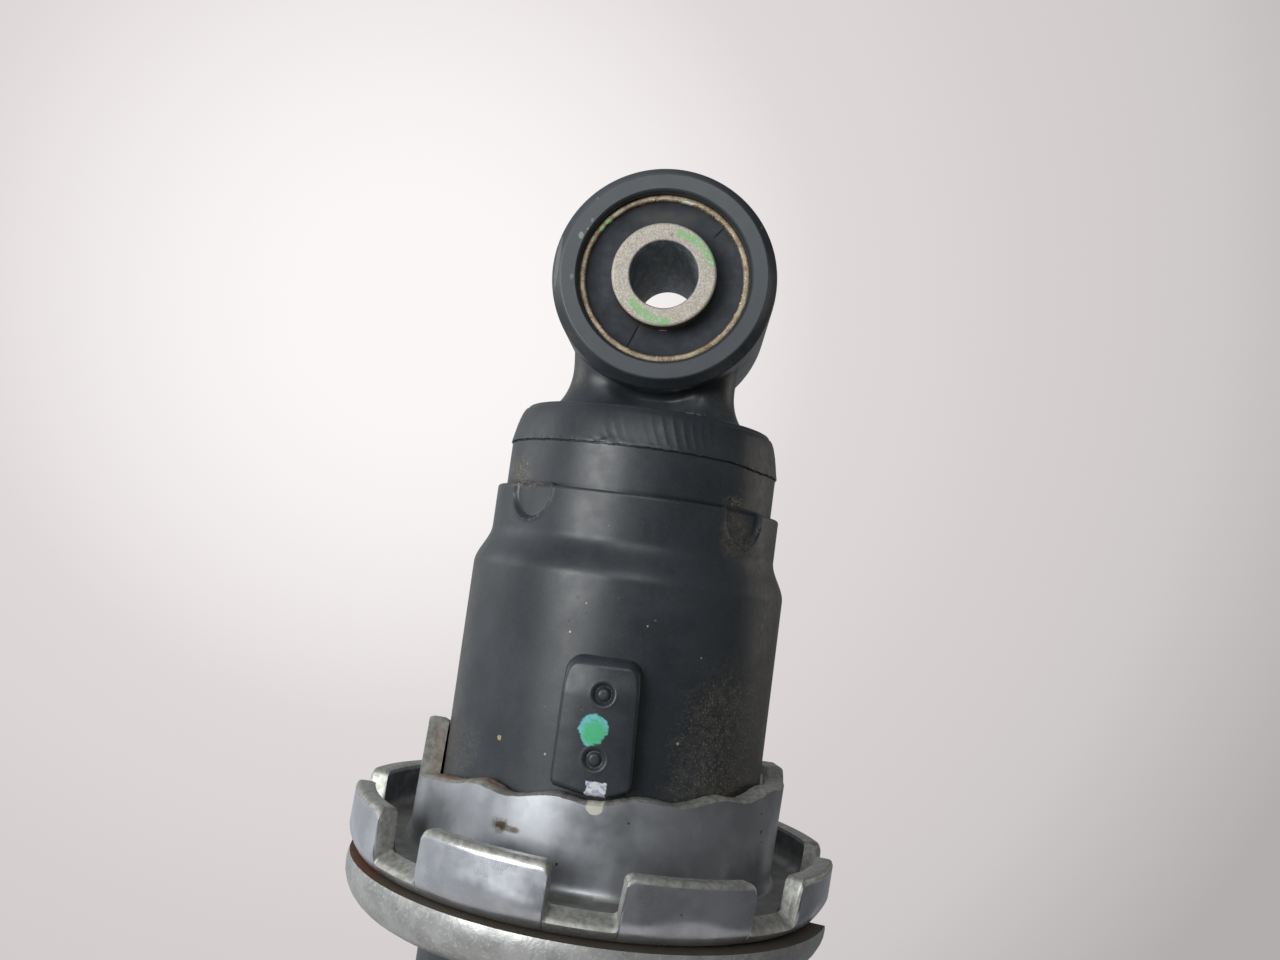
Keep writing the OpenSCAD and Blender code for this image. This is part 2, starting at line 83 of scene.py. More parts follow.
cameraView = {
    "lens": 32.34,
    "sensor": 36.0,
    "place": (9.559, -183.383, -44.540),
    "right": (0.99018, 0.04219, 0.13332),
    "down": (0.12929, 0.08706, -0.98778),
}


def makeCamera(view):
    right = Vector(view["right"])
    up = -Vector(view["down"])
    back = right.cross(up)
    turn = Matrix((right, up, back)).transposed().to_4x4()
    data = bpy.data.cameras.new("camera")
    data.lens = view["lens"]
    data.sensor_width = view["sensor"]
    data.clip_start = 0.005
    camera = bpy.data.objects.new("camera", data)
    camera.matrix_world = Matrix.Translation(Vector(view["place"]) * mm) @ turn
    bpy.context.scene.collection.objects.link(camera)
    bpy.context.scene.camera = camera


makeCamera(cameraView)


# Small sums

def clamp(value, low=0.0, high=1.0):
    return max(low, min(high, value))


def mixed(a, b, share):
    return a + (b - a) * share


def eased(low, high, value):  # smooth step between two limits
    t = clamp((value - low) / (high - low))
    return t * t * (3 - 2 * t)


def arc(x, z, radius, start, end, count):  # points of an arc, angles in degrees
    angles = [math.radians(mixed(start, end, i / count)) for i in range(count + 1)]
    return [(x + radius * math.cos(a), z + radius * math.sin(a)) for a in angles]


def run(start, end, count):  # points from start to just before end
    return [(mixed(start[0], end[0], i / count), mixed(start[1], end[1], i / count)) for i in range(count)]


def azimuthOf(place):  # degrees from the front, -Y, towards +X
    return math.degrees(math.atan2(place.x, -place.y))


def apart(a, b):  # difference of two azimuths, -180 to 180
    return (a - b + 180) % 360 - 180


def grain(place, size):  # smooth noise, -1 to 1, with features of about this size in millimetres
    return noise.noise(Vector(place) / size)


# Mesh tools. Meshes are made in millimetres and turned to metres when they are finished

def turned(profile, columns, closed=True):  # a profile of (radius, height) spun about Z
    bm = bmesh.new()
    row = bm.verts.layers.int.new("row")
    chain = []
    for index, (radius, height) in enumerate(profile):
        vert = bm.verts.new((radius, 0, height))
        vert[row] = index
        chain.append(vert)
    following = chain[1:] + chain[:1] if closed else chain[1:]
    edges = [bm.edges.new(pair) for pair in zip(chain, following)]
    bmesh.ops.spin(bm, geom=chain + edges, cent=(0, 0, 0), axis=(0, 0, 1), angle=math.tau,
                   steps=columns, use_merge=True, use_duplicate=False)
    bmesh.ops.remove_doubles(bm, verts=bm.verts, dist=1e-4)
    bmesh.ops.recalc_face_normals(bm, faces=bm.faces)
    return bm


def bothEnds(end):  # a section's upper end, with the same end below
    return end + [(radius, -height) for radius, height in reversed(end)]


def layIn(bm):  # turns the spin axis from Z to the bolt's axis, Y
    bmesh.ops.rotate(bm, verts=bm.verts, cent=(0, 0, 0), matrix=Matrix.Rotation(math.radians(90), 3, "X"))
    return bm


def setRadius(vert, radius):  # moves a point out or in, to this distance from Z
    scale = radius / math.hypot(vert.co.x, vert.co.y)
    vert.co.x *= scale
    vert.co.y *= scale


def newObject(bm, name):
    bmesh.ops.scale(bm, vec=(mm, mm, mm), verts=bm.verts)
    mesh = bpy.data.meshes.new(name)
    bm.to_mesh(mesh)
    bm.free()
    made = bpy.data.objects.new(name, mesh)
    bpy.context.scene.collection.objects.link(made)
    return made


def finished(piece, material, crease):  # smooth shading with sharp edges above the crease angle
    piece.data.shade_smooth()
    piece.data.set_sharp_from_angle(angle=math.radians(crease))
    piece.data.materials.clear()
    piece.data.materials.append(material)
    return piece


def seated(piece, body, node):
    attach(piece, body)
    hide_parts(node)
    return piece


def dressed(name, bm, material, crease, body, node):
    return seated(finished(newObject(bm, name), material, crease), body, node)


def united(name, parts):  # one closed mesh from several that overlap
    base, *others = [newObject(bm, name + "Part") for bm in parts]
    for other in others:
        joint = base.modifiers.new("union", "BOOLEAN")
        joint.operation = "UNION"
        joint.solver = "EXACT"
        joint.object = other
    evaluated = base.evaluated_get(bpy.context.evaluated_depsgraph_get())
    mesh = bpy.data.meshes.new_from_object(evaluated)
    for part in [base] + others:
        bpy.data.objects.remove(part)
    mesh.name = name
    made = bpy.data.objects.new(name, mesh)
    bpy.context.scene.collection.objects.link(made)
    return made


# Material tools

def tone(code):  # linear colour from a hex code
    parts = [int(code[i:i + 2], 16) / 255 for i in (0, 2, 4)]
    return tuple(p / 12.92 if p <= 0.04045 else ((p + 0.055) / 1.055) ** 2.4 for p in parts) + (1.0,)


class Nodes:
    def __init__(self, tree):
        self.tree = tree
        tree.nodes.clear()

    def add(self, kind, inputs=None, **settings):
        node = self.tree.nodes.new("ShaderNode" + kind)
        for key, value in settings.items():
            setattr(node, key, value)
        for key, value in (inputs or {}).items():
            self.feed(node.inputs[key], value)
        return node

    def feed(self, socket, value):
        if isinstance(value, bpy.types.NodeSocket):
            self.tree.links.new(value, socket)
        else:
            socket.default_value = value

    def calc(self, operation, a, b=0.0):
        return self.add("Math", {0: a, 1: b}, operation=operation).outputs[0]

    def times(self, first, *others):
        for value in others:
            first = self.calc("MULTIPLY", first, value)
        return first

    def vector(self, operation, a, b=(0, 0, 0)):
        result = "Value" if operation in ("LENGTH", "DOT_PRODUCT") else "Vector"
        return self.add("VectorMath", {0: a, 1: b}, operation=operation).outputs[result]

    def span(self, value, low, high, start=0.0, end=1.0):  # smooth step of a value
        inputs = {"Value": value, "From Min": low, "From Max": high, "To Min": start, "To Max": end}
        return self.add("MapRange", inputs, interpolation_type="SMOOTHSTEP").outputs["Result"]


class Sketch(Nodes):  # nodes of one material
    def __init__(self, name, stored=None):  # stored: an attribute that holds each point's place at rest
        self.material = bpy.data.materials.new(name)
        self.material.use_nodes = True
        super().__init__(self.material.node_tree)
        if stored:
            self.coords = self.add("Attribute", attribute_name=stored).outputs["Vector"]
        else:
            self.coords = self.add("TexCoord").outputs["Object"]
        self.parts = self.add("SeparateXYZ", {0: self.coords}).outputs

    def spanMm(self, value, low, high):  # smooth step of a place, its limits in millimetres
        return self.span(value, low * mm, high * mm)

    def colour(self, share, a, b):
        return self.add("Mix", {0: share, 6: a, 7: b}, data_type="RGBA").outputs[2]

    def over(self, base, share, code):  # a tone laid over the base
        return self.colour(share, base, tone(code))

    def noise(self, size, detail=3.0, stretch=None):  # features of about this size in millimetres
        vector = self.coords
        if stretch:
            vector = self.add("Mapping", {"Vector": vector, "Scale": stretch}).outputs[0]
        inputs = {"Vector": vector, "Scale": 1 / (size * mm), "Detail": detail, "Roughness": 0.6}
        return self.add("TexNoise", inputs).outputs["Fac"]

    def mottled(self, size, dark, light, detail=4):  # two tones in patches of about this size
        return self.colour(self.span(self.noise(size, detail), 0.35, 0.65), tone(dark), tone(light))

    def uneven(self, size, low, high, detail=3):  # a value that wanders between two limits
        return self.span(self.noise(size, detail), 0.3, 0.7, low, high)

    def specks(self, spacing, reach, share):  # scattered round dots
        cells = self.add("TexVoronoi", {"Vector": self.coords, "Scale": 1 / (spacing * mm)})
        near = self.span(cells.outputs["Distance"], reach, reach * 0.6)
        pick = self.add("SeparateColor", {0: cells.outputs["Color"]}).outputs[0]
        return self.times(near, self.span(pick, share, share * 0.9))

    def scaled(self, centre, size):  # the place seen from a centre, counted in sizes
        shift = self.vector("SUBTRACT", self.coords, [c * mm for c in centre])
        return self.vector("MULTIPLY", shift, [1 / (s * mm) for s in size])

    def inside(self, distance, ragged, detail, soft):  # 1 inside a ragged outline, which lies at distance 1
        wander = self.times(self.calc("SUBTRACT", self.noise(detail, 4), 0.5), ragged * 2)
        return self.span(self.calc("ADD", distance, wander), 1 + soft, 1 - soft)

    def blob(self, centre, size, ragged, detail, soft=0.08):  # a patch round a point, in millimetres
        return self.inside(self.vector("LENGTH", self.scaled(centre, size)), ragged, detail, soft)

    def patch(self, centre, size, ragged, detail):  # the same with square corners
        away = self.vector("ABSOLUTE", self.scaled(centre, size))
        across, deep, up = self.add("SeparateXYZ", {0: away}).outputs
        most = self.calc("MAXIMUM", self.calc("MAXIMUM", across, deep), up)
        return self.inside(most, ragged, detail, 0.06)

    def dot(self, radius, azimuth, height, size):  # a small speck on a turned face
        turn = math.radians(azimuth)
        place = (radius * math.sin(turn), -radius * math.cos(turn), height)
        return self.blob(place, (size, size, size), 0.4, 0.3)

    def angle(self, across, up):  # angle round an axis, degrees, from two coordinates
        return self.times(self.calc("ARCTAN2", up, across), 180 / math.pi)

    def azimuth(self):  # degrees from the front, -Y, towards +X
        x, y, z = self.parts
        return self.angle(self.times(y, -1.0), x)

    def distance(self, a, b):  # distance from an axis, from two coordinates
        return self.calc("SQRT", self.calc("ADD", self.times(a, a), self.times(b, b)))

    def attribute(self, name):
        return self.add("Attribute", attribute_name=name).outputs["Fac"]

    def shade(self, colour, roughness, bumps, **fixed):  # bumps: (height socket, depth in millimetres)
        shader = self.add("BsdfPrincipled", {"Base Color": colour, "Roughness": roughness, **fixed})
        normal = None
        for height, depth in bumps:
            inputs = {"Height": height, "Distance": depth * mm, "Strength": 1.0}
            if normal:
                inputs["Normal"] = normal
            normal = self.add("Bump", inputs).outputs[0]
        self.feed(shader.inputs["Normal"], normal)
        self.add("OutputMaterial", {"Surface": shader.outputs[0]})
        return self.material


# Materials

paintLook = {
    "light": "373c41",
    "dark": "2d3237",
    "dust": "6f675a",
    "grit": "9c927d",
    "speck": "a8a396",
    "pit": "1f2226",
    "roughness": 0.36,
}


def blackPaint(name, look, marks=None, dusty=()):  # dusty: place, size, thin haze, coarse grit
    s = Sketch(name)
    base = s.mottled(9, look["dark"], look["light"])
    film = s.span(s.noise(1.1, 5), 0.3, 0.8)
    grit = s.span(s.noise(0.3, 4), 0.52, 0.7)
    haze = s.times(film, 0.04)
    gritty = s.times(grit, 0.05)
    for centre, size, thin, coarse in dusty:
        patch = s.blob(centre, size, 0.5, 6.0, 0.5)
        haze = s.calc("MAXIMUM", haze, s.times(patch, thin, film))
        gritty = s.calc("MAXIMUM", gritty, s.times(patch, coarse, grit))
    base = s.over(base, haze, look["dust"])
    base = s.over(base, gritty, look["grit"])
    base = s.over(base, s.times(s.specks(2.6, 0.035, 0.16), 0.7), look["speck"])
    pits = s.specks(3.1, 0.06, 0.3)
    base = s.over(base, s.times(pits, 0.5), look["pit"])
    rough = s.uneven(3, look["roughness"] - 0.04, look["roughness"] + 0.05, 4)
    rough = s.calc("ADD", rough, s.times(haze, 0.35))
    if marks:
        base, rough = marks(s, base, rough)
    bumps = [(s.noise(0.4, 2), 0.006), (s.noise(5, 2), 0.006), (pits, -0.02)]
    return s.shade(base, rough, bumps)


zincLook = {
    "bright": "dde0e6",
    "dull": "c6c9ce",
    "rust": "7a4a30",
    "roughness": 0.3,
    "metallic": 0.9,
}


def zincPlate(name, look, marks=None):
    s = Sketch(name)
    streaks = s.noise(0.5, 3, (1.0, 1.0, 0.06))
    base = s.mottled(7, look["dull"], look["bright"])
    base = s.over(base, s.span(streaks, 0.55, 0.75, 0, 0.3), look["dull"])
    base = s.over(base, s.specks(4.6, 0.035, 0.1), look["rust"])
    rough = s.uneven(4, look["roughness"] - 0.05, look["roughness"] + 0.08, 4)
    metal = look["metallic"]
    if marks:
        base, rough, metal = marks(s, base, rough)
    return s.shade(base, rough, [(streaks, 0.004), (s.noise(2.5, 2), 0.01)], Metallic=metal)


def metalFinish(name, bright, dull, roughness, size=1.5, depth=0.01, metallic=1.0):
    s = Sketch(name)
    base = s.mottled(size * 3, dull, bright)
    rough = s.uneven(size * 2, roughness - 0.05, roughness + 0.07)
    return s.shade(base, rough, [(s.noise(size * 0.3, 3), depth)], Metallic=metallic)


def rubberFinish(name):  # the bush's rubber has a faint scuff and a mark under the sleeve
    s = Sketch(name)
    base = s.colour(s.span(s.noise(2.5, 5), 0.35, 0.7), tone("24282e"), tone("2f343b"))
    base = s.over(base, s.times(s.specks(2.2, 0.04, 0.15), 0.7), "9b9788")
    base = s.over(base, s.times(s.blob((-0.8, -13, 9.3), (4.2, 4, 1.3), 0.6, 2.5, 0.7), 0.14), "8f8b80")
    base = s.over(base, s.blob((0.75, -13, -7.75), (0.75, 3, 0.2), 0.4, 0.4), "a9a695")
    return s.shade(base, s.uneven(1.5, 0.62, 0.74), [(s.noise(0.25, 2), 0.01)])


headMarksLook = [  # place, size, ragged, colour, strength
    ((-16.2, -13.9, 0.5), (0.35, 1.6, 4.2), 0.7, "8f9394", 0.3),
    ((-13.17, -15, 4.56), (0.38, 1, 0.55), 0.6, "a9b0a6", 0.9),
    ((-13.71, -15, -1.84), (0.25, 1, 0.45), 0.8, "8f9495", 0.7),
    ((-11.83, -15, 7.08), (0.18, 1, 0.3), 0.6, "a4ab9f", 0.7),
    ((-12.3, -15, 5.7), (0.16, 1, 0.18), 0.6, "b4bfae", 0.7),
    ((-11.49, -15, 10.53), (0.22, 1, 0.2), 0.5, "5f8f58", 0.7),
    ((13.58, -15, 9.32), (0.22, 1.2, 0.55), 0.7, "6f9a62", 0.8),
    ((-10.6, -14.4, 6.6), (0.3, 0.8, 0.5), 0.7, "a3d18a", 0.9),
    ((3.5, -13.2, -19.6), (6.0, 4, 0.5), 0.9, "8b8474", 0.3),
]


def headMarks(s, base, rough):  # worn edge, nicks and specks of marking paint on the eye
    for place, size, ragged, code, strength in headMarksLook:
        base = s.over(base, s.times(s.blob(place, size, ragged, 0.5), strength), code)
    x, y, z = s.parts
    face = s.times(s.spanMm(s.calc("ABSOLUTE", y), 14.6, 14.85), s.spanMm(z, -18.5, -17.5))
    base = s.over(base, s.times(face, 0.4), "5b6267")  # the machined faces are paler
    low = s.times(s.spanMm(z, -32.7, -33.3), s.spanMm(s.distance(x, y), 20.5, 20.9))
    base = s.over(base, s.times(low, 0.75), "15171a")  # shade in the crevice at the tube
    return base, rough


def sleeveFinish(name):  # end of the inner sleeve, with worn green marking paint
    s = Sketch(name)
    base = s.mottled(0.22, "aaa296", "d0c9bd", 3)
    base = s.over(base, s.span(s.noise(1.3, 5), 0.62, 0.78), "8a7a64")
    x, y, z = s.parts
    turn = s.angle(x, z)
    radius = s.distance(x, z)
    shares = []
    for low, high, end, start in ((12, 84, 6.6, 7.35), (-139, -73, 7.2, 6.2)):
        track = s.span(turn, low, high, start * mm, end * mm)  # the dab wanders across the ring
        off = s.calc("ABSOLUTE", s.calc("SUBTRACT", radius, track))
        shares.append(s.times(s.span(turn, low, low + 6), s.span(turn, high, high - 6),
                              s.spanMm(off, 0.75, 0.45)))
    green = s.times(s.calc("ADD", *shares), s.span(s.noise(0.4, 5), 0.37, 0.51))
    base = s.over(base, s.times(green, 0.85), "86c17e")
    inside = s.spanMm(radius, 5.3, 5.15)
    streaks = s.span(s.noise(1.0, 4, (1.0, 0.3, 0.3)), 0.4, 0.7)
    base = s.colour(inside, base, s.colour(streaks, tone("6d7378"), tone("9aa0a4")))
    rust = s.times(s.spanMm(s.calc("ABSOLUTE", y), 15.5, 15.3), s.spanMm(radius, 7.5, 7.8))
    base = s.over(base, rust, "5a4a36")
    grainy = s.times(s.noise(0.25, 3), s.calc("SUBTRACT", 1.0, inside))
    return s.shade(base, s.uneven(0.8, 0.48, 0.62), [(grainy, 0.03)], Metallic=0.25)


# Upper eye and head

headLook = {
    "eyeRadius": 17.0,
    "faceRadius": 15.76,
    "boreRadius": 12.9,
    "halfLength": 15.0,
    "neckWide": 12.7,
    "neckDeep": 10.2,
    "neckFlare": 3.7,
    "neckPower": 3.4,
    "neckHollow": 0.2,
    "neckCeiling": 15.0,
    "top": -20.6,
    "topRadius": 19.5,
    "rim": -26.5,
    "rimFall": 0.5,
    "rimFallStart": (35, 60),
    "rimFallStop": (150, 110),
    "rimRadius": 21.3,
    "ringRadius": 21.1,
    "ringEnd": -34.4,
    "plugRadius": 20.1,
    "plugEnd": -44.0,
    "toolPitch": 1.45,
    "toolDepth": 0.08,
    "toolStart": (-21, -10),
    "toolStop": (38, 24),
    "columns": 720,
}


def eyeRing(d):
    half = d["halfLength"]
    bore = d["boreRadius"]
    edge = d["faceRadius"]
    end = [(bore, half - 1.6), (bore, half - 0.75), (bore + 0.1, half - 0.5), (bore + 0.4, half - 0.1)]
    end += [(bore + 0.5, half), (bore + 0.6, half), (edge - 0.4, half), (edge - 0.3, half)]
    end += arc(edge - 0.3, half - 0.25, 0.25, 90, 35, 4)
    end += [(edge + 0.05, half - 0.35), (d["eyeRadius"] - 0.3, half - 1.35)]
    end += arc(d["eyeRadius"] - 0.6, half - 1.9, 0.6, 35, 0, 4)
    end += [(d["eyeRadius"], half - 2.1)]
    return layIn(turned(bothEnds(end), 256))


def neckBlock(d):  # waisted block between eye and cap: its top follows the eye, its foot flares
    rows = 26
    bm = turned([(0, 0)] + [(1, i) for i in range(rows)] + [(0, rows)], 96, closed=False)
    row = bm.verts.layers.int["row"]
    for vert in bm.verts:
        share = clamp((vert[row] - 1) / (rows - 1))
        inner = vert[row] == 0 or vert[row] > rows
        side = Vector((vert.co.x, vert.co.y))
        side = Vector((0, 1)) if side.length < 1e-6 else side.normalized()
        foot = clamp((share - 0.38) / 0.62)
        flare = d["neckFlare"] * (1 - math.sqrt(1 - foot * foot))
        wide = d["neckWide"] + flare + 1.2 * (1 - share) ** 3
        deep = d["neckDeep"] + flare + 1.6 * (1 - clamp(share / 0.4)) ** 2
        power = d["neckPower"]
        reach = ((abs(side.x) / wide) ** power + (abs(side.y) / deep) ** power) ** (-1 / power)
        x, y = (0, 0) if inner else (side.x * reach, side.y * reach)
        hollow = eased(0.1, 0.5, share) * math.exp(-((x - 0.5) / 5.5) ** 4)
        y *= 1 - d["neckHollow"] * hollow
        ceiling = -math.sqrt(max(d["neckCeiling"] ** 2 - x * x, 4.0))
        vert.co = (x, y, mixed(ceiling, d["top"] - 0.4, share))
    bmesh.ops.recalc_face_normals(bm, faces=bm.faces)
    return bm


def capBody(d):
    top, rim = d["top"], d["rim"]
    profile = run((0, top), (d["topRadius"] - 1.2, top), 4) + [(d["topRadius"] - 0.7, top)]
    profile += arc(d["topRadius"] - 0.6, top - 0.6, 0.6, 90, 14, 5)
    low = profile[-1]
    flankRows = 22
    for i in range(1, flankRows + 1):
        t = i / flankRows
        profile.append((mixed(low[0], d["rimRadius"], math.sqrt(t)), mixed(low[1], rim, t)))
    profile += [(d["rimRadius"], rim - 0.1), (d["ringRadius"] - 0.2, rim - 0.14)]
    profile += [(d["ringRadius"] - 0.2, rim - 0.24)]
    profile += run((d["ringRadius"], rim - 0.4), (d["ringRadius"], d["ringEnd"]), 6)
    profile += [(d["ringRadius"], d["ringEnd"]), (d["plugRadius"], d["ringEnd"]),
                (d["plugRadius"], d["plugEnd"]), (0, d["plugEnd"])]
    bm = turned(profile, d["columns"], closed=False)
    for vert in bm.verts:
        radius = math.hypot(vert.co.x, vert.co.y)
        if radius < d["plugRadius"] - 2 or vert.co.z < rim - 0.5:
            continue
        azimuth = azimuthOf(vert.co)
        drop = (top - vert.co.z) / (top - rim)  # 0 at the top, 1 at the rim
        along = math.radians(azimuth) * radius
        pitch = d["toolPitch"] * (0.5 if abs(azimuth) > 40 else 1.0)
        phase = along / pitch - 1.1 * drop * drop + 0.25 * grain(vert.co, 5)
        wave = abs(math.sin(math.pi * phase)) ** 0.4  # broad scallops with sharp ridges between
        front = eased(*d["toolStart"], azimuth) * eased(*d["toolStop"], azimuth)
        strength = max(front, 0.5 * eased(44, 56, abs(azimuth)), 0.12)
        shift = -d["toolDepth"] * eased(0.05, 0.3, drop) * eased(1.02, 0.8, drop) * strength * wave
        if drop > 0.93:  # ragged flash at the rim
            shift += eased(1.06, 1.03, drop) * (0.06 * grain(vert.co, 0.9) + 0.04 * grain(vert.co, 0.35))
            vert.co.z += 0.1 * grain((azimuth * 0.35, 1, 2), 1.1)
            vert.co.z += 0.06 * grain((azimuth * 0.35, 4, 2), 0.3)
        side = eased(*d["rimFallStart"], azimuth) * eased(*d["rimFallStop"], azimuth)
        vert.co.z -= d["rimFall"] * clamp(drop) * side
        setRadius(vert, radius + shift)
    return bm


paintedHead = blackPaint("paintedHead", paintLook, headMarks, [
    ((14, -8, -14), (6, 12, 6), 0.25, 0.2),
    ((-14, -6, -14), (4, 12, 5), 0.3, 0.3),
    ((-18.6, -11.2, -31.4), (3.4, 4, 2.2), 0.5, 0.9),
    ((15.6, -14.2, -32.6), (3.0, 4, 1.2), 0.6, 0.8),
    ((20, -7, -28), (6, 10, 7), 0.6, 0.3),
])
head = united("eyeAndHead", [eyeRing(headLook), neckBlock(headLook), capBody(headLook)])
seated(finished(head, paintedHead, 38), "damper", "eye_head")
print("head made,", len(head.data.polygons), "faces")


# Bush in the eye

bushLook = {
    "outer": 12.9,
    "wall": 1.0,
    "outerHalf": 13.5,
    "rubberHalf": 13.0,
    "dip": 0.5,
    "sleeve": 7.87,
    "bore": 5.1,
    "sleeveHalf": 15.7,
    "seams": ((47.5, 9.9), (249.5, 8.0)),  # azimuth round the bolt, radius where it starts
    "seamDepth": 0.22,
}


def bushRing(d):
    inner, outer, half = d["outer"] - d["wall"], d["outer"], d["outerHalf"]
    end = arc(inner + 0.35, half - 0.35, 0.35, 180, 90, 5) + arc(outer - 0.35, half - 0.35, 0.35, 90, 0, 5)
    bm = turned(bothEnds(end), 240)
    for vert in bm.verts:
        if abs(vert.co.z) > half - 0.4:
            vert.co.z += 0.07 * grain(vert.co, 1.6)
    return layIn(bm)


def bushRubber(d):
    inner, outer, half = d["sleeve"], d["outer"] - d["wall"], d["rubberHalf"]
    rows = 14
    end = [(mixed(inner, outer, i / rows), half - d["dip"] * math.sin(math.pi * i / rows) ** 0.7)
           for i in range(rows + 1)]
    bm = layIn(turned(bothEnds(end), 720))
    for vert in bm.verts:
        turn = math.degrees(math.atan2(vert.co.z, vert.co.x))
        radius = math.hypot(vert.co.x, vert.co.z)
        if inner + 0.2 < radius < outer - 0.2:
            for seam, start in d["seams"]:
                away = abs(math.radians(apart(turn, seam))) * radius
                depth = d["seamDepth"] * eased(0.22, 0.04, away) * eased(start, start + 0.5, radius)
                vert.co.y -= math.copysign(depth, vert.co.y)
            vert.co.y += 0.05 * grain(vert.co, 2.5)
    return bm


def bushSleeve(d):
    bore, outer, half = d["bore"], d["sleeve"], d["sleeveHalf"]
    end = [(bore, half - 0.5), (bore, half - 0.3), (bore + 0.07, half - 0.1), (bore + 0.25, half)]
    end += [(bore + 0.35, half), (outer - 0.45, half), (outer - 0.35, half)]
    end += [(outer - 0.2, half - 0.05), (outer - 0.05, half - 0.2), (outer, half - 0.35), (outer, half - 0.5)]
    return layIn(turned(bothEnds(end), 192))


def ringFinish(name):  # dull rusty end of the outer sleeve, with dabs of green and white
    s = Sketch(name)
    base = s.mottled(1.6, "8b7961", "b9aa90")
    base = s.over(base, s.span(s.noise(0.6, 5), 0.54, 0.7), "6b5038")
    x, y, z = s.parts
    brown = s.times(s.spanMm(s.distance(x, z), 12.25, 12.0), s.span(s.noise(1.2, 4), 0.3, 0.6))
    base = s.over(base, s.times(brown, 0.8), "5f4630")
    base = s.over(base, s.span(s.noise(0.3, 3), 0.56, 0.66, 0, 0.8), "e6ddcc")
    for place, size, code in (((-9.5, -13.5, 7.7), (0.8, 2, 0.32), "93c877"),
                              ((-10.35, -13.5, 6.45), (0.35, 2, 0.4), "93c877"),
                              ((1.9, -13.5, 11.75), (0.95, 2, 0.42), "d3d5cd")):
        base = s.over(base, s.blob(place, size, 0.5, 0.5), code)
    return s.shade(base, s.uneven(1.4, 0.45, 0.6), [(s.noise(0.3, 3), 0.04)], Metallic=0.35)


blackRubber = rubberFinish("blackRubber")
dressed("bushOuterRing", bushRing(bushLook), ringFinish("rustySleeve"), 40,
        "damper", "bush_outer_sleeve")
dressed("bushRubberRing", bushRubber(bushLook), blackRubber, 60, "damper", "bush_rubber")
dressed("bushSleeve", bushSleeve(bushLook), sleeveFinish("sinteredSleeve"), 50,
        "bush_sleeve", "bush_inner_sleeve")
print("bush made")


# Damper tube, swaged in over the head and locked by four pressed dents

tubeLook = {
    "top": -33.5,
    "neckRadius": 22.4,
    "neckEnd": -40.0,
    "flareEnd": -46.0,
    "radius": 24.5,
    "wall": 2.2,
    "end": -182.0,
    "dents": [-42.5, 48.0, 137.5, 228.0],
    "dentHalf": 4.2,
    "dentCentre": -34.5,
    "dentDepth": 0.95,
    "dentCrown": 0.4,
    "dentBurr": 0.1,
    "dentLift": 0.55,
    "columns": 600,
}


def dentInside(d, azimuth, height):  # distance inside the nearest dent's outline, and from its middle
    best = (-99.0, 0.0)
    for centre in d["dents"]:
        along = math.radians(apart(azimuth, centre)) * d["neckRadius"]
        below = min(0.0, height - d["dentCentre"])
        best = max(best, (d["dentHalf"] - math.hypot(along, below), along))
    return best


def tubeShell(d):
    top, radius, neck, wall = d["top"], d["radius"], d["neckRadius"], d["wall"]
    profile = [(neck - wall, top), (neck - 1.2, top), (neck - 0.5, top), (neck - 0.2, top - 0.06)]
    profile += [(neck - 0.05, top - 0.2)]
    profile += run((neck, top - 0.45), (neck, d["neckEnd"]), 22)
    flareRows = 20
    for i in range(flareRows + 1):
        t = i / flareRows
        profile.append((mixed(neck, radius, t * t * (3 - 2 * t)), mixed(d["neckEnd"], d["flareEnd"], t)))
    profile += run((radius, -50), (radius, d["end"] + 1), 12)
    profile += arc(radius - 1, d["end"] + 1, 1, 0, -90, 5)
    profile += [(radius - wall, d["end"])]
    profile += [(radius - wall, d["flareEnd"] - 1), (neck - wall, d["neckEnd"] - 1)]
    bm = turned(profile, d["columns"])
    row = bm.verts.layers.int["row"]
    for vert in bm.verts:
        if vert[row] in (0, len(profile) - 2, len(profile) - 1) or vert.co.z < d["neckEnd"]:
            continue
        inside, along = dentInside(d, azimuthOf(vert.co), vert.co.z)
        press = -(d["dentDepth"] - d["dentCrown"] * (along / d["dentHalf"]) ** 2) * eased(-0.1, 0.5, inside)
        if vert[row] < 5:
            press *= 0.75
        burr = d["dentBurr"] * math.exp(-((inside + 0.15) / 0.22) ** 2)
        setRadius(vert, math.hypot(vert.co.x, vert.co.y) + press + burr)
        if vert[row] < 9:
            lift = d["dentLift"] * eased(-0.3, 0.8, inside)
            lift += 0.1 * grain(vert.co, 0.8) * eased(-0.5, 0.3, inside)
            vert.co.z += lift * (1 - vert[row] / 9)
    return bm


tubeSpecks = [  # azimuth, height, size, colour
    (-34.8, -69.9, 0.36, "a39a63"), (-12.6, -48.8, 0.36, "1d2024"), (-9.5, -49.5, 0.14, "8f9aa0"),
    (-13.6, -53.7, 0.16, "b9b7a8"), (11.2, -51.5, 0.13, "a7a695"), (13.5, -50.6, 0.16, "5d6468"),
    (-18.5, -45.7, 0.2, "1d2024"), (-18.2, -53.2, 0.18, "1d2024"), (-9.0, -50.9, 0.2, "23262a"),
    (26.6, -67.0, 0.2, "a59f86"), (31.2, -55.0, 0.15, "8d8878"), (-16.4, -70.7, 0.15, "a9a797"),
]


def tubeMarks(s, base, rough):
    for azimuth, height, size, code in tubeSpecks:
        base = s.over(base, s.dot(tubeLook["radius"], azimuth, height, size), code)
    return base, rough


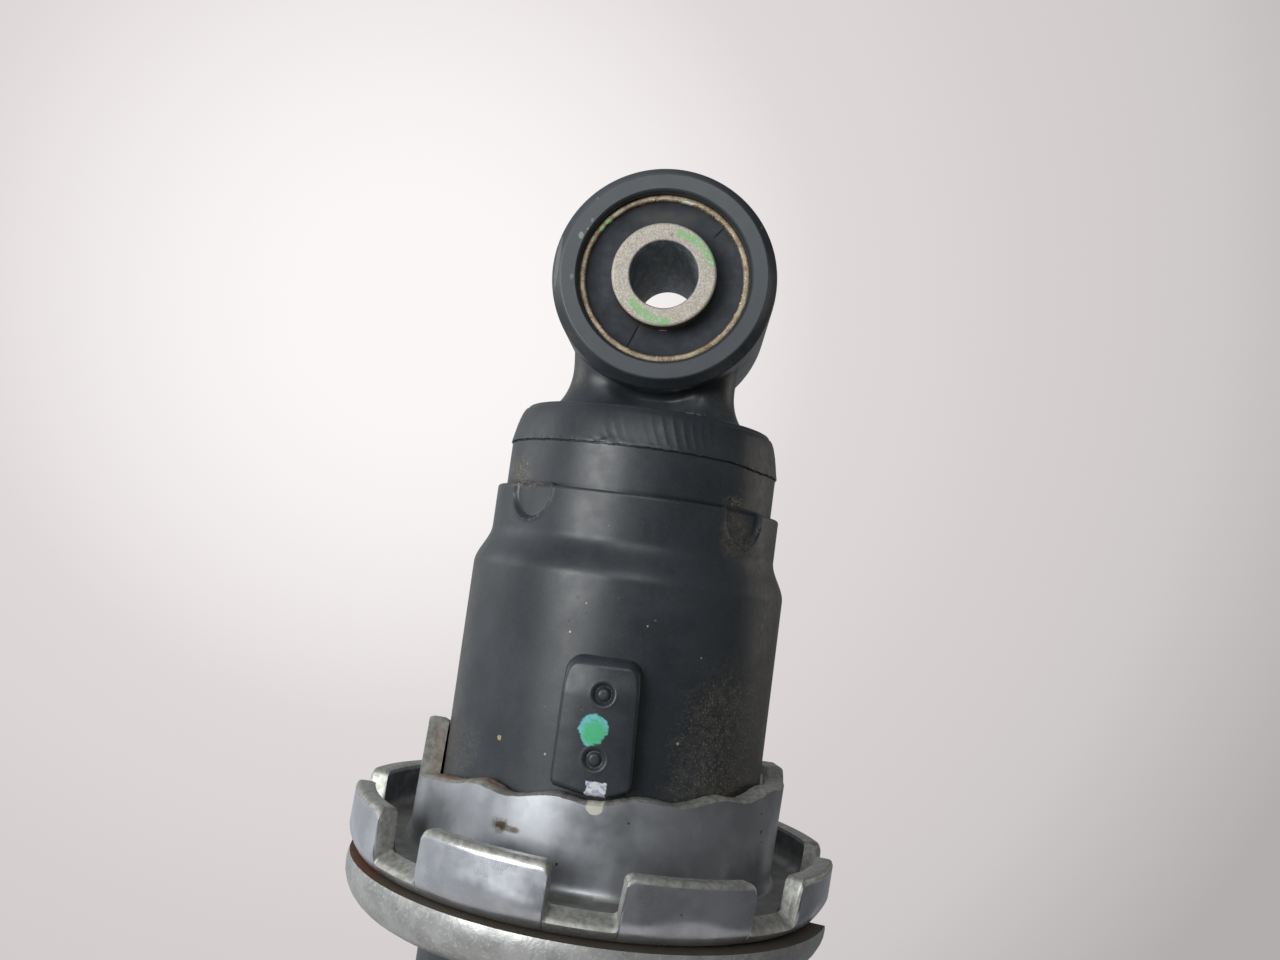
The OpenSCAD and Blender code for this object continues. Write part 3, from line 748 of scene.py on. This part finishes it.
tubePaint = blackPaint("paintedTube", paintLook, tubeMarks, [
    ((18, -16, -66), (8, 12, 10), 0.5, 0.6),
    ((19, -14, -74), (9, 12, 6), 0.65, 0.7),
    ((23.5, -5, -52), (4.6, 11, 24), 0.95, 0.5),
    ((-24, -3, -60), (3, 10, 26), 0.7, 0.2),
    ((15.6, -15.0, -37.2), (2.6, 4, 3.2), 0.9, 0.6),
    ((20.2, -12.2, -42), (3.0, 4, 4.5), 0.6, 0.4),
    ((-16.5, -15.5, -33.3), (3.5, 4, 0.8), 0.6, 0.9),
    ((-20.5, -14, -73), (4.0, 6, 4), 0.25, 0.3),
    ((0, 24, -80), (26, 8, 40), 0.4, 0.3),
])
tube = dressed("damperTube", tubeShell(tubeLook), tubePaint, 42, "damper", "damper_tube")
print("tube made,", len(tube.data.polygons), "faces")


# Cam stops: pressed pads welded to the tube, with two ring marks each

stopLook = {
    "half": 6.1,  # half its width
    "top": -56.4,
    "side": -74.0,
    "nose": -75.15,
    "corner": 2.4,
    "radius": 27.0,
    "tube": 24.5,
    "edge": 1.0,
    "topEdge": 1.5,
    "topFall": 0.6,
    "rings": ((0.16, -61.25, 0.6, 1.12), (0.1, -69.95, 0.4, 1.1)),  # place across and up, depth, radius
    "ringWidth": 0.3,
    "lip": 0.03,
    "margin": 0.5,
    "across": 96,
    "along": 150,
}


def stopOutline(d):
    half, corner, nose = d["half"], d["corner"], d["nose"]
    points = arc(half - 0.6 - corner, d["top"] - corner, corner, 0, 90, 8)
    points += arc(corner - half, d["top"] - corner, corner, 90, 180, 8)
    points += arc(1.6 - half, d["side"] + 0.9, 1.6, 180, 240, 5)
    points += [(-0.6, nose), (2.6, nose)] + arc(half - 1.6, nose + 2.3, 1.6, 300, 360, 5)
    return [Vector(p) for p in points]


def insideOutline(place, outline):  # distance to the outline, positive inside
    closest = 99.0
    inside = False
    for a, b in zip(outline, outline[1:] + outline[:1]):
        edge = b - a
        t = clamp((place - a).dot(edge) / edge.length_squared)
        closest = min(closest, (place - a - edge * t).length)
        if (a.y > place.y) != (b.y > place.y) and place.x < a.x + (place.y - a.y) / edge.y * edge.x:
            inside = not inside
    return closest if inside else -closest


def stopPad(d, turn):
    wide = d["half"] + d["margin"]
    tall = (d["top"] - d["nose"]) / 2 + d["margin"]
    middle = (d["top"] + d["nose"]) / 2
    outline = stopOutline(d)
    bm = bmesh.new()
    bmesh.ops.create_grid(bm, x_segments=d["across"], y_segments=d["along"], size=1.0)
    deep = {}
    for vert in bm.verts:
        place = Vector((vert.co.x * wide, middle + vert.co.y * tall))
        inside = insideOutline(place, outline)
        t = clamp(inside / mixed(d["edge"], d["topEdge"], eased(d["top"] - 4.5, d["top"] - 0.5, place.y)))
        rise = math.sqrt(1 - (1 - t) ** 2) if inside > 0 else 0.0
        crown = d["radius"] - d["topFall"] * eased(d["top"] - 5.5, d["top"] - 0.5, place.y)
        radius = mixed(d["tube"] - 0.25, crown, rise)
        for x, z, depth, ring in d["rings"]:
            away = (place - Vector((x, z))).length
            radius -= depth * math.exp(-((away - ring) / d["ringWidth"]) ** 2)
            radius += d["lip"] * math.exp(-((away - ring - 0.6) / 0.25) ** 2)
        radius += 0.035 * grain((place.x, place.y, turn), 2.4) * rise
        angle = place.x / d["radius"]
        vert.co = (radius * math.sin(angle), -radius * math.cos(angle), place.y)
        deep[vert] = inside
    spare = [f for f in bm.faces if all(deep[v] < -0.2 for v in f.verts)]
    bmesh.ops.delete(bm, geom=spare, context="FACES")
    skin = bmesh.ops.extrude_face_region(bm, geom=bm.faces[:])
    for vert in [g for g in skin["geom"] if isinstance(g, bmesh.types.BMVert)]:
        setRadius(vert, d["tube"] - 0.9)
    bmesh.ops.recalc_face_normals(bm, faces=bm.faces)
    bmesh.ops.rotate(bm, verts=bm.verts, cent=(0, 0, 0), matrix=Matrix.Rotation(turn, 3, "Z"))
    return bm


def frontStopMarks(s, base, rough):  # teal dab, and white paint at the nose
    teal = s.blob((-0.5, -27, -66.1), (1.8, 3, 2.1), 0.5, 1.1)
    core = s.blob((-0.4, -27, -66.5), (1.7, 3, 1.75), 0.5, 0.8, 0.35)
    shades = s.colour(core, tone("6ebfc4"), tone("4cbb83"))
    shades = s.over(shades, s.span(s.noise(0.5, 4), 0.5, 0.66, 0, 0.5), "2f9a78")
    base = s.colour(teal, base, shades)
    white = s.patch((0.78, -27, -73.9), (1.35, 3, 1.05), 0.42, 0.9)
    smear = s.span(s.noise(0.6, 3), 0.46, 0.62, 0.0, 0.75)
    base = s.colour(white, base, s.colour(smear, tone("dcdde0"), tone("8796bb")))
    return base, s.colour(teal, rough, (0.5, 0.5, 0.5, 1))


for name, node, turn, paint in (
    ("frontCamStop", "cam_stop_front", 0, blackPaint("paintedFrontStop", paintLook, frontStopMarks)),
    ("rearCamStop", "cam_stop_rear", math.pi, blackPaint("paintedRearStop", paintLook)),
):
    dressed(name, stopPad(stopLook, turn), paint, 50, "damper", node)
print("cam stops made")


# Preload collar: a tube with two stepped cam ramps and a castellated flange. Pushed by the
# spring, the collar and the top coil sit a little askew on the tube

leanLook = {
    "angle": 2.0,
    "back": 0.7,
    "drop": 0.5,
    "side": -0.2,
    "pivot": -85.0,
    "footShare": 0.5,
}


def leanDrop(place):  # height added by the lean, less where the flange rests on the coil
    across = math.sin(math.radians(leanLook["angle"]))
    deep = math.sin(math.radians(leanLook["back"]))
    share = mixed(leanLook["footShare"], 1.0, eased(-91, -80, place.z))
    return share * (-place.x * across - place.y * deep - leanLook["drop"])


collarLook = {
    "bore": 25.0,
    "outer": 28.0,
    "foot": -91.0,
    "floor": -88.0,
    "troughRadius": 1.5,
    "bendRadius": 4.0,
    "wallInner": 34.2,
    "wallOuter": 37.0,
    "tabTop": -81.7,
    "tabRoll": 0.75,
    "tabs": 8,
    "tabCentre": -19.4,
    "tabEase": 1.1,
    "notchRadius": 35.6,
    "notchHalf": 4.8,
    "notchInner": -87.2,
    "notchOuter": -88.6,
    "notchCorner": 0.8,
    "notchRoll": 0.5,
    "facetSlope": 20.0,
    "facetReach": 64.42,  # distance of the facet's plane from the origin
    "camLow": -77.4,
    "camWall": -70.7,
    "camDip": 0.4,
    "camFoot": 1.7,
    "camEase": 0.3,
    "camRagged": 0.09,
    "camBurr": 0.6,
    "burrStart": (-78, -66),
    "burrStop": (-22, -34),
    "camTilt": 0.35,
    "camRaise": 0.05,
    "steps": 6,
    "stepTurn": 25,
    "firstStep": -50.0,
    "crest": 0.66,  # where a step is highest, as a share of its turn
    "rampEnd": 105,
    "wallStart": 89,
    "columns": 1080,
}


def camHeight(d, azimuth):
    a = (azimuth - (d["rampEnd"] - 180)) % 180 + d["rampEnd"] - 180
    turn, first = d["stepTurn"], d["firstStep"]
    last = first + (d["steps"] - 1) * turn
    if a < first:  # the groove falls towards the foot of the wall
        return d["camLow"] - d["camFoot"] * (first - a) / (first - d["rampEnd"] + 180)
    if a >= last:
        return mixed(d["camLow"] + d["steps"] - 1, d["camWall"], eased(d["wallStart"], d["wallStart"] + 8, a))
    index = math.floor((a - first) / turn)
    t = a - first - index * turn
    crest = d["crest"] * turn
    low = d["camLow"] + index
    if t < crest:
        return low + (1 + d["camDip"]) * eased(0, crest, t)
    return low + 1 + d["camDip"] * eased(turn, crest, t)


def nearest(azimuth, first, pitch):  # the nearest of places that are a pitch apart
    return first + round((azimuth - first) / pitch) * pitch


def notchCut(d, azimuth):  # whether a notch is here, and the easing of its corners in millimetres
    pitch = 360 / d["tabs"]
    away = abs(apart(azimuth, nearest(azimuth, d["tabCentre"] + pitch / 2, pitch)))
    side = math.radians(away) * d["notchRadius"] - d["notchHalf"]
    cut = side <= 0
    r = d["notchCorner"] if cut else d["tabEase"]
    depth = min(abs(side), r)
    return cut, r - math.sqrt(max(r * r - (r - depth) ** 2, 0))


def pressedFlat(d, column, radius, height):  # the bend under each tab is pressed to a sloping facet
    slope = math.radians(d["facetSlope"])
    over = radius * column["flat"] * math.cos(slope) - height * math.sin(slope) - d["facetReach"]
    over = 0.5 * (over + math.sqrt(over * over + 0.02))
    if column["cut"] or over < 0.02:
        return radius, height
    return radius - over * math.cos(slope), height + over * math.sin(slope)


def walked(path, distance):  # point at a distance along a path
    for a, b in zip(path, path[1:]):
        length = math.dist(a, b)
        if distance <= length:
            return (mixed(a[0], b[0], distance / length), mixed(a[1], b[1], distance / length))
        distance -= length
    return path[-1]


def pathTo(path, height):  # distance along a rising path to a height
    total = 0.0
    for a, b in zip(path, path[1:]):
        if b[1] >= height:
            share = 0 if b[1] == a[1] else (height - a[1]) / (b[1] - a[1])
            return total + math.dist(a, b) * clamp(share)
        total += math.dist(a, b)
    return total


def collarColumn(d, azimuth):  # the section's heights and paths at one azimuth
    cut, easing = notchCut(d, azimuth)
    cam = camHeight(d, azimuth) - d["camEase"] + d["camRaise"]
    cam += d["camTilt"] * math.sin(math.radians(azimuth))
    cam += d["camRagged"] * grain((azimuth * 0.4, 0, 0), 1.0) + 0.04 * grain((azimuth * 0.4, 7, 0), 0.3)
    innerTop = (d["notchInner"] + easing) if cut else d["tabTop"] - easing
    outerTop = (d["notchOuter"] + easing) if cut else d["tabTop"] - easing
    roll = d["notchRoll"] if cut else d["tabRoll"]
    tube, low, trough, bend = d["outer"], d["floor"], d["troughRadius"], d["bendRadius"]
    wall = [(tube, cam)] + arc(tube + trough, low + trough, trough, 180, 270, 6)
    inner = arc(d["wallInner"] - trough, low + trough, trough, 270, 360, 8) + [(d["wallInner"], d["tabTop"])]
    outer = arc(d["wallOuter"] - bend, d["foot"] + bend, bend, -90, 0, 16) + [(d["wallOuter"], d["tabTop"])]
    return {
        "cam": cam,
        "burr": d["camBurr"] * eased(*d["burrStart"], azimuth) * eased(*d["burrStop"], azimuth),
        "cut": cut,
        "flat": math.cos(math.radians(apart(azimuth, nearest(azimuth, d["tabCentre"], 360 / d["tabs"])))),
        "roll": roll,
        "wall": wall,
        "inner": inner,
        "outer": outer,
        "wallLength": sum(math.dist(a, b) for a, b in zip(wall, wall[1:])),
        "innerLength": pathTo(inner, innerTop - 0.2),
        "outerLength": pathTo(outer, outerTop - roll),
    }


def collarPoint(d, column, kind, t):  # radius and height of one point of the section
    trough, bend = d["troughRadius"], d["bendRadius"]
    if kind == "bore":
        return d["bore"], mixed(d["foot"] + 1, column["cam"] + column["burr"], t)
    if kind == "cam":
        edge = 4 * t * (1 - t)
        height = column["cam"] + column["burr"] * (1 - t) + d["camEase"] * (1 - (1 - edge) ** 3)
        return mixed(d["bore"], d["outer"], t), height
    if kind == "wall":
        return walked(column["wall"], t * column["wallLength"])
    if kind == "floor":
        return mixed(d["outer"] + trough, d["wallInner"] - trough, t), d["floor"]
    if kind == "inner":
        return walked(column["inner"], t * column["innerLength"])
    if kind == "outer":
        return pressedFlat(d, column, *walked(column["outer"], (1 - t) * column["outerLength"]))
    if kind == "foot":
        return mixed(d["wallOuter"] - bend, d["bore"] + 1, t), d["foot"]
    start = walked(column["inner"], column["innerLength"])
    end = walked(column["outer"], column["outerLength"])
    t = t ** 0.7
    edge = 1 - (2 * t - 1) ** 6
    return mixed(start[0], end[0], t), mixed(start[1], end[1], t) + mixed(0.2, column["roll"], t) * edge


def collarRing(d):
    counts = {"bore": 14, "cam": 5, "wall": 14, "floor": 4, "inner": 12, "top": 9, "outer": 22}
    rows = [(kind, i / count) for kind, count in counts.items() for i in range(count)]
    rows += [("foot", i / 4) for i in range(5)]
    circle = [(31 + 3 * math.cos(math.tau * i / len(rows)), 3 * math.sin(math.tau * i / len(rows)) - 85)
              for i in range(len(rows))]
    bm = turned(circle, d["columns"])
    row = bm.verts.layers.int["row"]
    columns = {}
    for vert in bm.verts:
        azimuth = azimuthOf(vert.co)
        key = round(azimuth * 20)
        if key not in columns:
            columns[key] = collarColumn(d, azimuth)
        radius, height = collarPoint(d, columns[key], *rows[vert[row]])
        angle = math.radians(azimuth)
        vert.co = (radius * math.sin(angle), -radius * math.cos(angle), height)
        askew = math.sin(math.radians(leanLook["angle"])) * (height - leanLook["pivot"])
        vert.co += Vector((leanLook["side"] + askew, 0, leanDrop(vert.co)))
    cutLayer = bm.faces.layers.float.new("cutFace")
    for face in bm.faces:
        kinds = {rows[v[row]][0] for v in face.verts}
        face[cutLayer] = 1.0 if "cam" in kinds or "top" in kinds else 0.0
    bmesh.ops.recalc_face_normals(bm, faces=bm.faces)
    if bm.calc_volume(signed=True) < 0:  # the tabs can make the line above choose the inside
        bmesh.ops.reverse_faces(bm, faces=bm.faces)
    return bm


collarStains = [  # place, size, strength
    ((-11.5, -25.5, -80.5), (1.2, 3, 1.0), 0.45),
    ((-11.3, -25.6, -80.45), (0.75, 3, 0.5), 0.85),
    ((-10.2, -26.1, -80.75), (1.5, 3, 0.42), 0.6),
    ((-9.2, -26.4, -80.75), (0.7, 3, 0.45), 0.55),
]
collarDots = [  # azimuth, height, size
    (59.5, -76.2, 0.22), (67.5, -75.9, 0.2), (61, -78.9, 0.3),
    (62.5, -80.4, 0.18), (-6, -84.0, 0.2), (12, -77.5, 0.15),
]


def collarMarks(s, base, rough):  # sheared edges, rust, grime and painted dark reflection in the trough, stains and cream paint
    x, y, z = s.parts
    azimuth = s.azimuth()
    radius = s.distance(x, y)
    cut = s.attribute("cutFace")
    base = s.colour(cut, base, s.mottled(0.8, "96968f", "b6b6b0"))
    rust = s.times(cut, s.span(azimuth, -78, -70), s.span(azimuth, -15, -30), s.spanMm(z, -79, -78),
                   s.spanMm(radius, 27.6, 26.2), s.span(s.noise(1.5, 5), 0.36, 0.56))
    base = s.over(base, s.times(rust, 0.9), "8c6547")
    trough = s.times(s.spanMm(radius, 27.7, 28.6), s.spanMm(radius, 34.9, 34.5), s.calc("SUBTRACT", 1.0, cut))
    # grime in the trough, painted darker up the inner faces of the tabs as a dark reflection of the tube,
    # paler on the floor
    grimeAndPaintedReflection = s.times(trough, s.span(s.noise(2.5, 4), 0.2, 0.6, 0.7, 0.9))
    floor = s.spanMm(z, -85.8, -87.2)
    base = s.colour(grimeAndPaintedReflection, base, s.colour(floor, tone("34383c"), tone("74736b")))
    for place, size, strength in collarStains:
        base = s.over(base, s.times(s.blob(place, size, 0.7, 0.6, 0.3), strength), "4a3a22")
    for dot in collarDots:
        base = s.over(base, s.times(s.dot(collarLook["outer"], *dot), 0.8), "3a3431")
    cream = s.calc("MAXIMUM", s.patch((1.05, -27.9, -75.65), (1.15, 4, 0.5), 0.25, 1.0),
                   s.blob((1.1, -27.9, -76.0), (1.1, 4, 0.95), 0.25, 1.0))
    base = s.over(base, cream, "d8d5c8")
    painted = s.calc("MAXIMUM", s.calc("MAXIMUM", rust, cream), grimeAndPaintedReflection)
    rough = s.calc("ADD", s.calc("ADD", rough, s.times(cut, 0.12)), s.times(painted, 0.3))
    metal = s.calc("SUBTRACT", 0.9, s.times(s.calc("MAXIMUM", cut, painted), 0.4))
    return base, rough, metal


collar = dressed("preloadCollar", collarRing(collarLook), zincPlate("zincCollar", zincLook, collarMarks), 36,
                 "collar", "preload_collar")
print("collar made,", len(collar.data.polygons), "faces")


# Coil spring with ground ends, each about half a flat turn

springLook = {
    "wire": 11.5,
    "coil": 31.25,
    "top": -91.0,
    "length": 157.0,
    "freeCoils": 5,
    "endTurnDepth": 1.35,  # in wires
    "flatEnd": 0.45,  # in turns
    "tipDepth": 0.6,
    "flatDepth": 1.8,
    "tipAzimuth": 76,
    "leanReach": 40,
    "sides": 32,
    "perTurn": 80,
}


def springMesh(d):
    wire, turns, flat = d["wire"], d["freeCoils"] + 2, d["flatEnd"]
    turnDepth = d["endTurnDepth"] * wire
    pitch = (d["length"] - 2 * turnDepth) / d["freeCoils"]
    sweepPitch = 2 * wire  # even pitch of the helix while it is swept
    bottom = d["top"] - d["length"]

    def endDepth(u):  # depth of the wire's middle below the end, over the first turn
        if u < flat:
            return mixed(d["tipDepth"], d["flatDepth"], u / flat)
        h = 1 - flat
        t = (u - flat) / h
        first = (d["flatDepth"] - d["tipDepth"]) / flat * h
        last = pitch * h
        return ((2 * t ** 3 - 3 * t ** 2 + 1) * d["flatDepth"] + (t ** 3 - 2 * t ** 2 + t) * first
                + (3 * t ** 2 - 2 * t ** 3) * turnDepth + (t ** 3 - t ** 2) * last)

    def wireHeight(u):
        if u < 1:
            return d["top"] - endDepth(max(u, 0))
        if u > turns - 1:
            return bottom + endDepth(max(turns - u, 0))
        return d["top"] - turnDepth - (u - 1) * pitch

    bm = bmesh.new()
    upright = Matrix.Rotation(math.radians(90), 4, "X")
    bmesh.ops.create_circle(bm, segments=d["sides"], radius=wire / 2,
                            matrix=Matrix.Translation((d["coil"], 0, 0)) @ upright)
    bmesh.ops.spin(bm, geom=bm.verts[:] + bm.edges[:], cent=(0, 0, 0), axis=(0, 0, -1),
                   dvec=(0, 0, -sweepPitch / d["perTurn"]), angle=math.tau * turns,
                   steps=d["perTurn"] * turns, use_merge=False, use_duplicate=False)
    bmesh.ops.holes_fill(bm, edges=[e for e in bm.edges if e.is_boundary], sides=0)
    centre = bm.verts.layers.float.new("centre")
    rest = bm.verts.layers.float_vector.new("restPlace")
    ground = bm.faces.layers.float.new("ground")
    start = math.radians(90 - d["tipAzimuth"])
    for vert in bm.verts:
        around = (-math.atan2(vert.co.y, vert.co.x) / math.tau) % 1.0
        u = around + round(-vert.co.z / sweepPitch - around)
        height = wireHeight(u)
        vert.co.z += u * sweepPitch + height
        vert[centre] = height
    bmesh.ops.rotate(bm, verts=bm.verts, cent=(0, 0, 0), matrix=Matrix.Rotation(-start, 3, "Z"))
    for plane, side in ((d["top"], 1), (bottom, -1)):
        cut = bmesh.ops.bisect_plane(bm, geom=bm.verts[:] + bm.edges[:] + bm.faces[:], dist=1e-5,
                                     plane_co=(0, 0, plane), plane_no=(0, 0, side), clear_outer=True)
        edges = [g for g in cut["geom_cut"] if isinstance(g, bmesh.types.BMEdge)]
        for face in bmesh.ops.holes_fill(bm, edges=edges, sides=0)["faces"]:
            face[ground] = 1.0
    bmesh.ops.recalc_face_normals(bm, faces=bm.faces)
    for vert in bm.verts:
        share = eased(d["top"] - d["leanReach"], d["top"], vert.co.z)
        vert.co.z += share * leanDrop(vert.co)
        vert[rest] = vert.co * mm
    return bm, turnDepth


def springPaint(name):  # textured silver paint, with bare rusty ground faces
    s = Sketch(name, "restPlace")
    base = s.mottled(5, "a2a3a1", "bfc0be")
    base = s.over(base, s.span(s.noise(0.5, 3), 0.5, 0.7, 0, 0.55), "dfe0de")
    base = s.over(base, s.span(s.noise(1.0, 5), 0.58, 0.75, 0, 0.55), "857e70")
    base = s.over(base, s.specks(2.1, 0.08, 0.25), "5f5140")
    ground = s.attribute("ground")
    brown = s.calc("ADD", s.span(s.noise(1.4, 5), 0.35, 0.65, -0.3, 0.3),
                   s.span(s.azimuth(), -38, -62, 0.1, 0.85))
    base = s.colour(ground, base, s.colour(brown, tone("625f54"), tone("6f4834")))
    rough = s.calc("ADD", s.uneven(2, 0.34, 0.46, 4), s.times(ground, 0.3))
    bumps = [(s.noise(0.9, 3), 0.055), (s.noise(0.3, 2), 0.025)]
    return s.shade(base, rough, bumps, Metallic=0.55)


springBmesh, turnDepth = springMesh(springLook)
spring = newObject(springBmesh, "coilSpring")
centres = [0.0] * len(spring.data.vertices)
spring.data.attributes["centre"].data.foreach_get("value", centres)
finished(spring, springPaint("silverSpring"), 40)
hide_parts("coil_spring")
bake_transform(spring)
spring.data.attributes.remove(spring.data.attributes["centre"])
print("spring made,", len(spring.data.polygons), "faces")


# Rod, lower seat, fork and inner pieces: the frame's own forms. Rod, seat, fork and their small parts are
# welded and smoothed, the inner pieces only get finishes

def smoothCopy(node, name, material):  # the mesh comes in metres
    source = frame["nodes"][node]
    bm = bmesh.new()
    bm.from_mesh(source.data)
    bmesh.ops.remove_doubles(bm, verts=bm.verts, dist=1e-6)
    bmesh.ops.scale(bm, vec=(1 / mm, 1 / mm, 1 / mm), verts=bm.verts)
    dressed(name, bm, material, 32, source["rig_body"], node)


lowerPaint = blackPaint("paintedLower", paintLook, None, [((20, -20, -265), (30, 30, 30), 0.4, 0.4)])
plainSteel = metalFinish("plainSteel", "b4b6b8", "96989a", 0.35)
chrome = metalFinish("hardChrome", "d8dadc", "cfd2d4", 0.1, 6, 0.002)
alloy = metalFinish("turnedAlloy", "c4c6c8", "aeb0b2", 0.35)
ironFinish = metalFinish("sinteredIron", "7d7f82", "65676a", 0.5, 0.8, 0.02)
bronze = metalFinish("bushBronze", "b99a66", "9c8050", 0.4)
plasticBand = metalFinish("bearingPlastic", "4a3b2c", "3a2e24", 0.5, 1.2, 0.01, 0.0)

for node, name, material, slot in (
    ("lower_spring_seat", "lowerSeat", lowerPaint, "black_paint"),
    ("lower_clevis", "lowerFork", lowerPaint, "black_paint"),
    ("dust_cap", "dustCap", lowerPaint, "black_paint"),
    ("piston_rod", "pistonRod", chrome, "hard_chrome"),
    ("lock_nut", "lockNut", zincPlate("zincNut", zincLook), "zinc_plate"),
    ("bump_rubber", "bumpRubber", blackRubber, "black_rubber"),
    ("bump_washer", "bumpWasher", plainSteel, "plain_steel"),
):
    smoothCopy(node, name, material)

innerFinish = {
    "aluminium": alloy, "sintered_iron": ironFinish, "plain_steel": plainSteel, "bush_bronze": bronze,
    "bearing_plastic": plasticBand, "black_rubber": blackRubber,
}
slotOf = {part["node"]: part["material_slot"] for part in frame["record"]["subparts"]}
for node, piece in frame["nodes"].items():
    if not piece.hide_render:
        piece.data.materials.clear()
        piece.data.materials.append(innerFinish[slotOf[node]])
print("lower and inner pieces dressed")


# Floor, background and lamps

stageLook = {
    "paper": "d9d4d3",
    "paperLightPoolCentre": (-0.258, 0.946, 0.195),  # painted pool of light on the backdrop: brightest round the eye, with painted shade away from it
    "paperLightPoolTones": ((0.7, "b2aeae"), (0.8, "cfcaca"), (0.86, "d4cfce"), (0.94, "dfdad9"), (0.995, "fbf7f6")),
    "floorRadius": 0.42,
    "floorGap": 0.0005,
    "fadeStart": 0.2,
    "roomSide": (-0.8, 0.4, -0.1),  # the table behind is pale, the room in front is darker
    "roomReach": (-0.55, 0.9),
    "roomStrength": (0.06, 0.5),
    "roomColour": (0.93, 0.96, 1.0, 1),
    "lampAim": (0, 0, -0.07),
    "lamps": [
        {"place": (-0.50, -0.76, 0.09), "size": (0.6, 0.45), "power": 5.4, "colour": (0.99, 1.0, 1.0)},
        {"place": (-0.75, 0.10, 0.12), "size": (0.6, 0.4), "power": 0.75, "colour": (1.0, 0.99, 0.98)},
        {"place": (0.68, 0.38, 0.10), "size": (0.5, 0.5), "power": 0.5, "colour": (1.0, 0.95, 0.9)},
        {"place": (0.05, -0.72, 0.36), "size": (0.5, 0.3), "power": 1.2, "colour": (0.97, 0.99, 1.0)},
    ],
}


def makeLamps(d):
    for index, lamp in enumerate(d["lamps"]):
        data = bpy.data.lights.new("lamp%d" % index, "AREA")
        data.shape = "ELLIPSE"
        data.size, data.size_y = lamp["size"]
        data.energy = lamp["power"]
        data.color = lamp["colour"]
        made = bpy.data.objects.new("lamp%d" % index, data)
        place = Vector(lamp["place"])
        aim = Vector(d["lampAim"]) - place
        made.matrix_world = Matrix.Translation(place) @ aim.to_track_quat("-Z", "Y").to_matrix().to_4x4()
        bpy.context.scene.collection.objects.link(made)


def makeSky(d):
    world = bpy.data.worlds.new("studio")
    bpy.context.scene.world = world
    world.use_nodes = True
    n = Nodes(world.node_tree)
    around = n.add("TexCoord").outputs["Generated"]
    # the backdrop seen by the camera carries a painted pool of light and painted shade, set by direction
    ramp = n.add("ValToRGB", {0: n.vector("DOT_PRODUCT", around, d["paperLightPoolCentre"])})
    while len(ramp.color_ramp.elements) < len(d["paperLightPoolTones"]):
        ramp.color_ramp.elements.new(1.0)
    for element, (place, code) in zip(ramp.color_ramp.elements, d["paperLightPoolTones"]):
        element.position = place
        element.color = tone(code)
    paper = n.add("Background", {"Color": ramp.outputs[0]})
    lean = n.vector("DOT_PRODUCT", around, d["roomSide"])
    strength = n.span(lean, *d["roomReach"], *d["roomStrength"])
    room = n.add("Background", {"Color": d["roomColour"], "Strength": strength})
    rays = n.add("LightPath").outputs
    seen = n.calc("MAXIMUM", rays["Is Camera Ray"], rays["Is Transmission Ray"])
    blend = n.add("MixShader", {0: seen, 1: room.outputs[0], 2: paper.outputs[0]})
    n.add("OutputWorld", {"Surface": blend.outputs[0]})


def makeFloor(d, height):
    bm = bmesh.new()
    bmesh.ops.create_circle(bm, segments=96, radius=d["floorRadius"] / mm, cap_ends=True,
                            matrix=Matrix.Translation((0, 0, height / mm)))
    floor = newObject(bm, "floor")
    s = Sketch("floorPaper")
    x, y, z = s.parts
    fade = s.span(s.distance(x, y), d["fadeStart"], d["floorRadius"] * 0.98)
    paper = s.add("BsdfDiffuse", {"Color": tone(d["paper"])})
    clear = s.add("BsdfTransparent")
    mix = s.add("MixShader", {0: fade, 1: paper.outputs[0], 2: clear.outputs[0]})
    s.add("OutputMaterial", {"Surface": mix.outputs[0]})
    floor.data.materials.append(s.material)


makeLamps(stageLook)
makeSky(stageLook)
makeFloor(stageLook, cadBox[0][2] - stageLook["floorGap"])
bpy.context.scene.view_settings.view_transform = "Standard"
print("stage made")
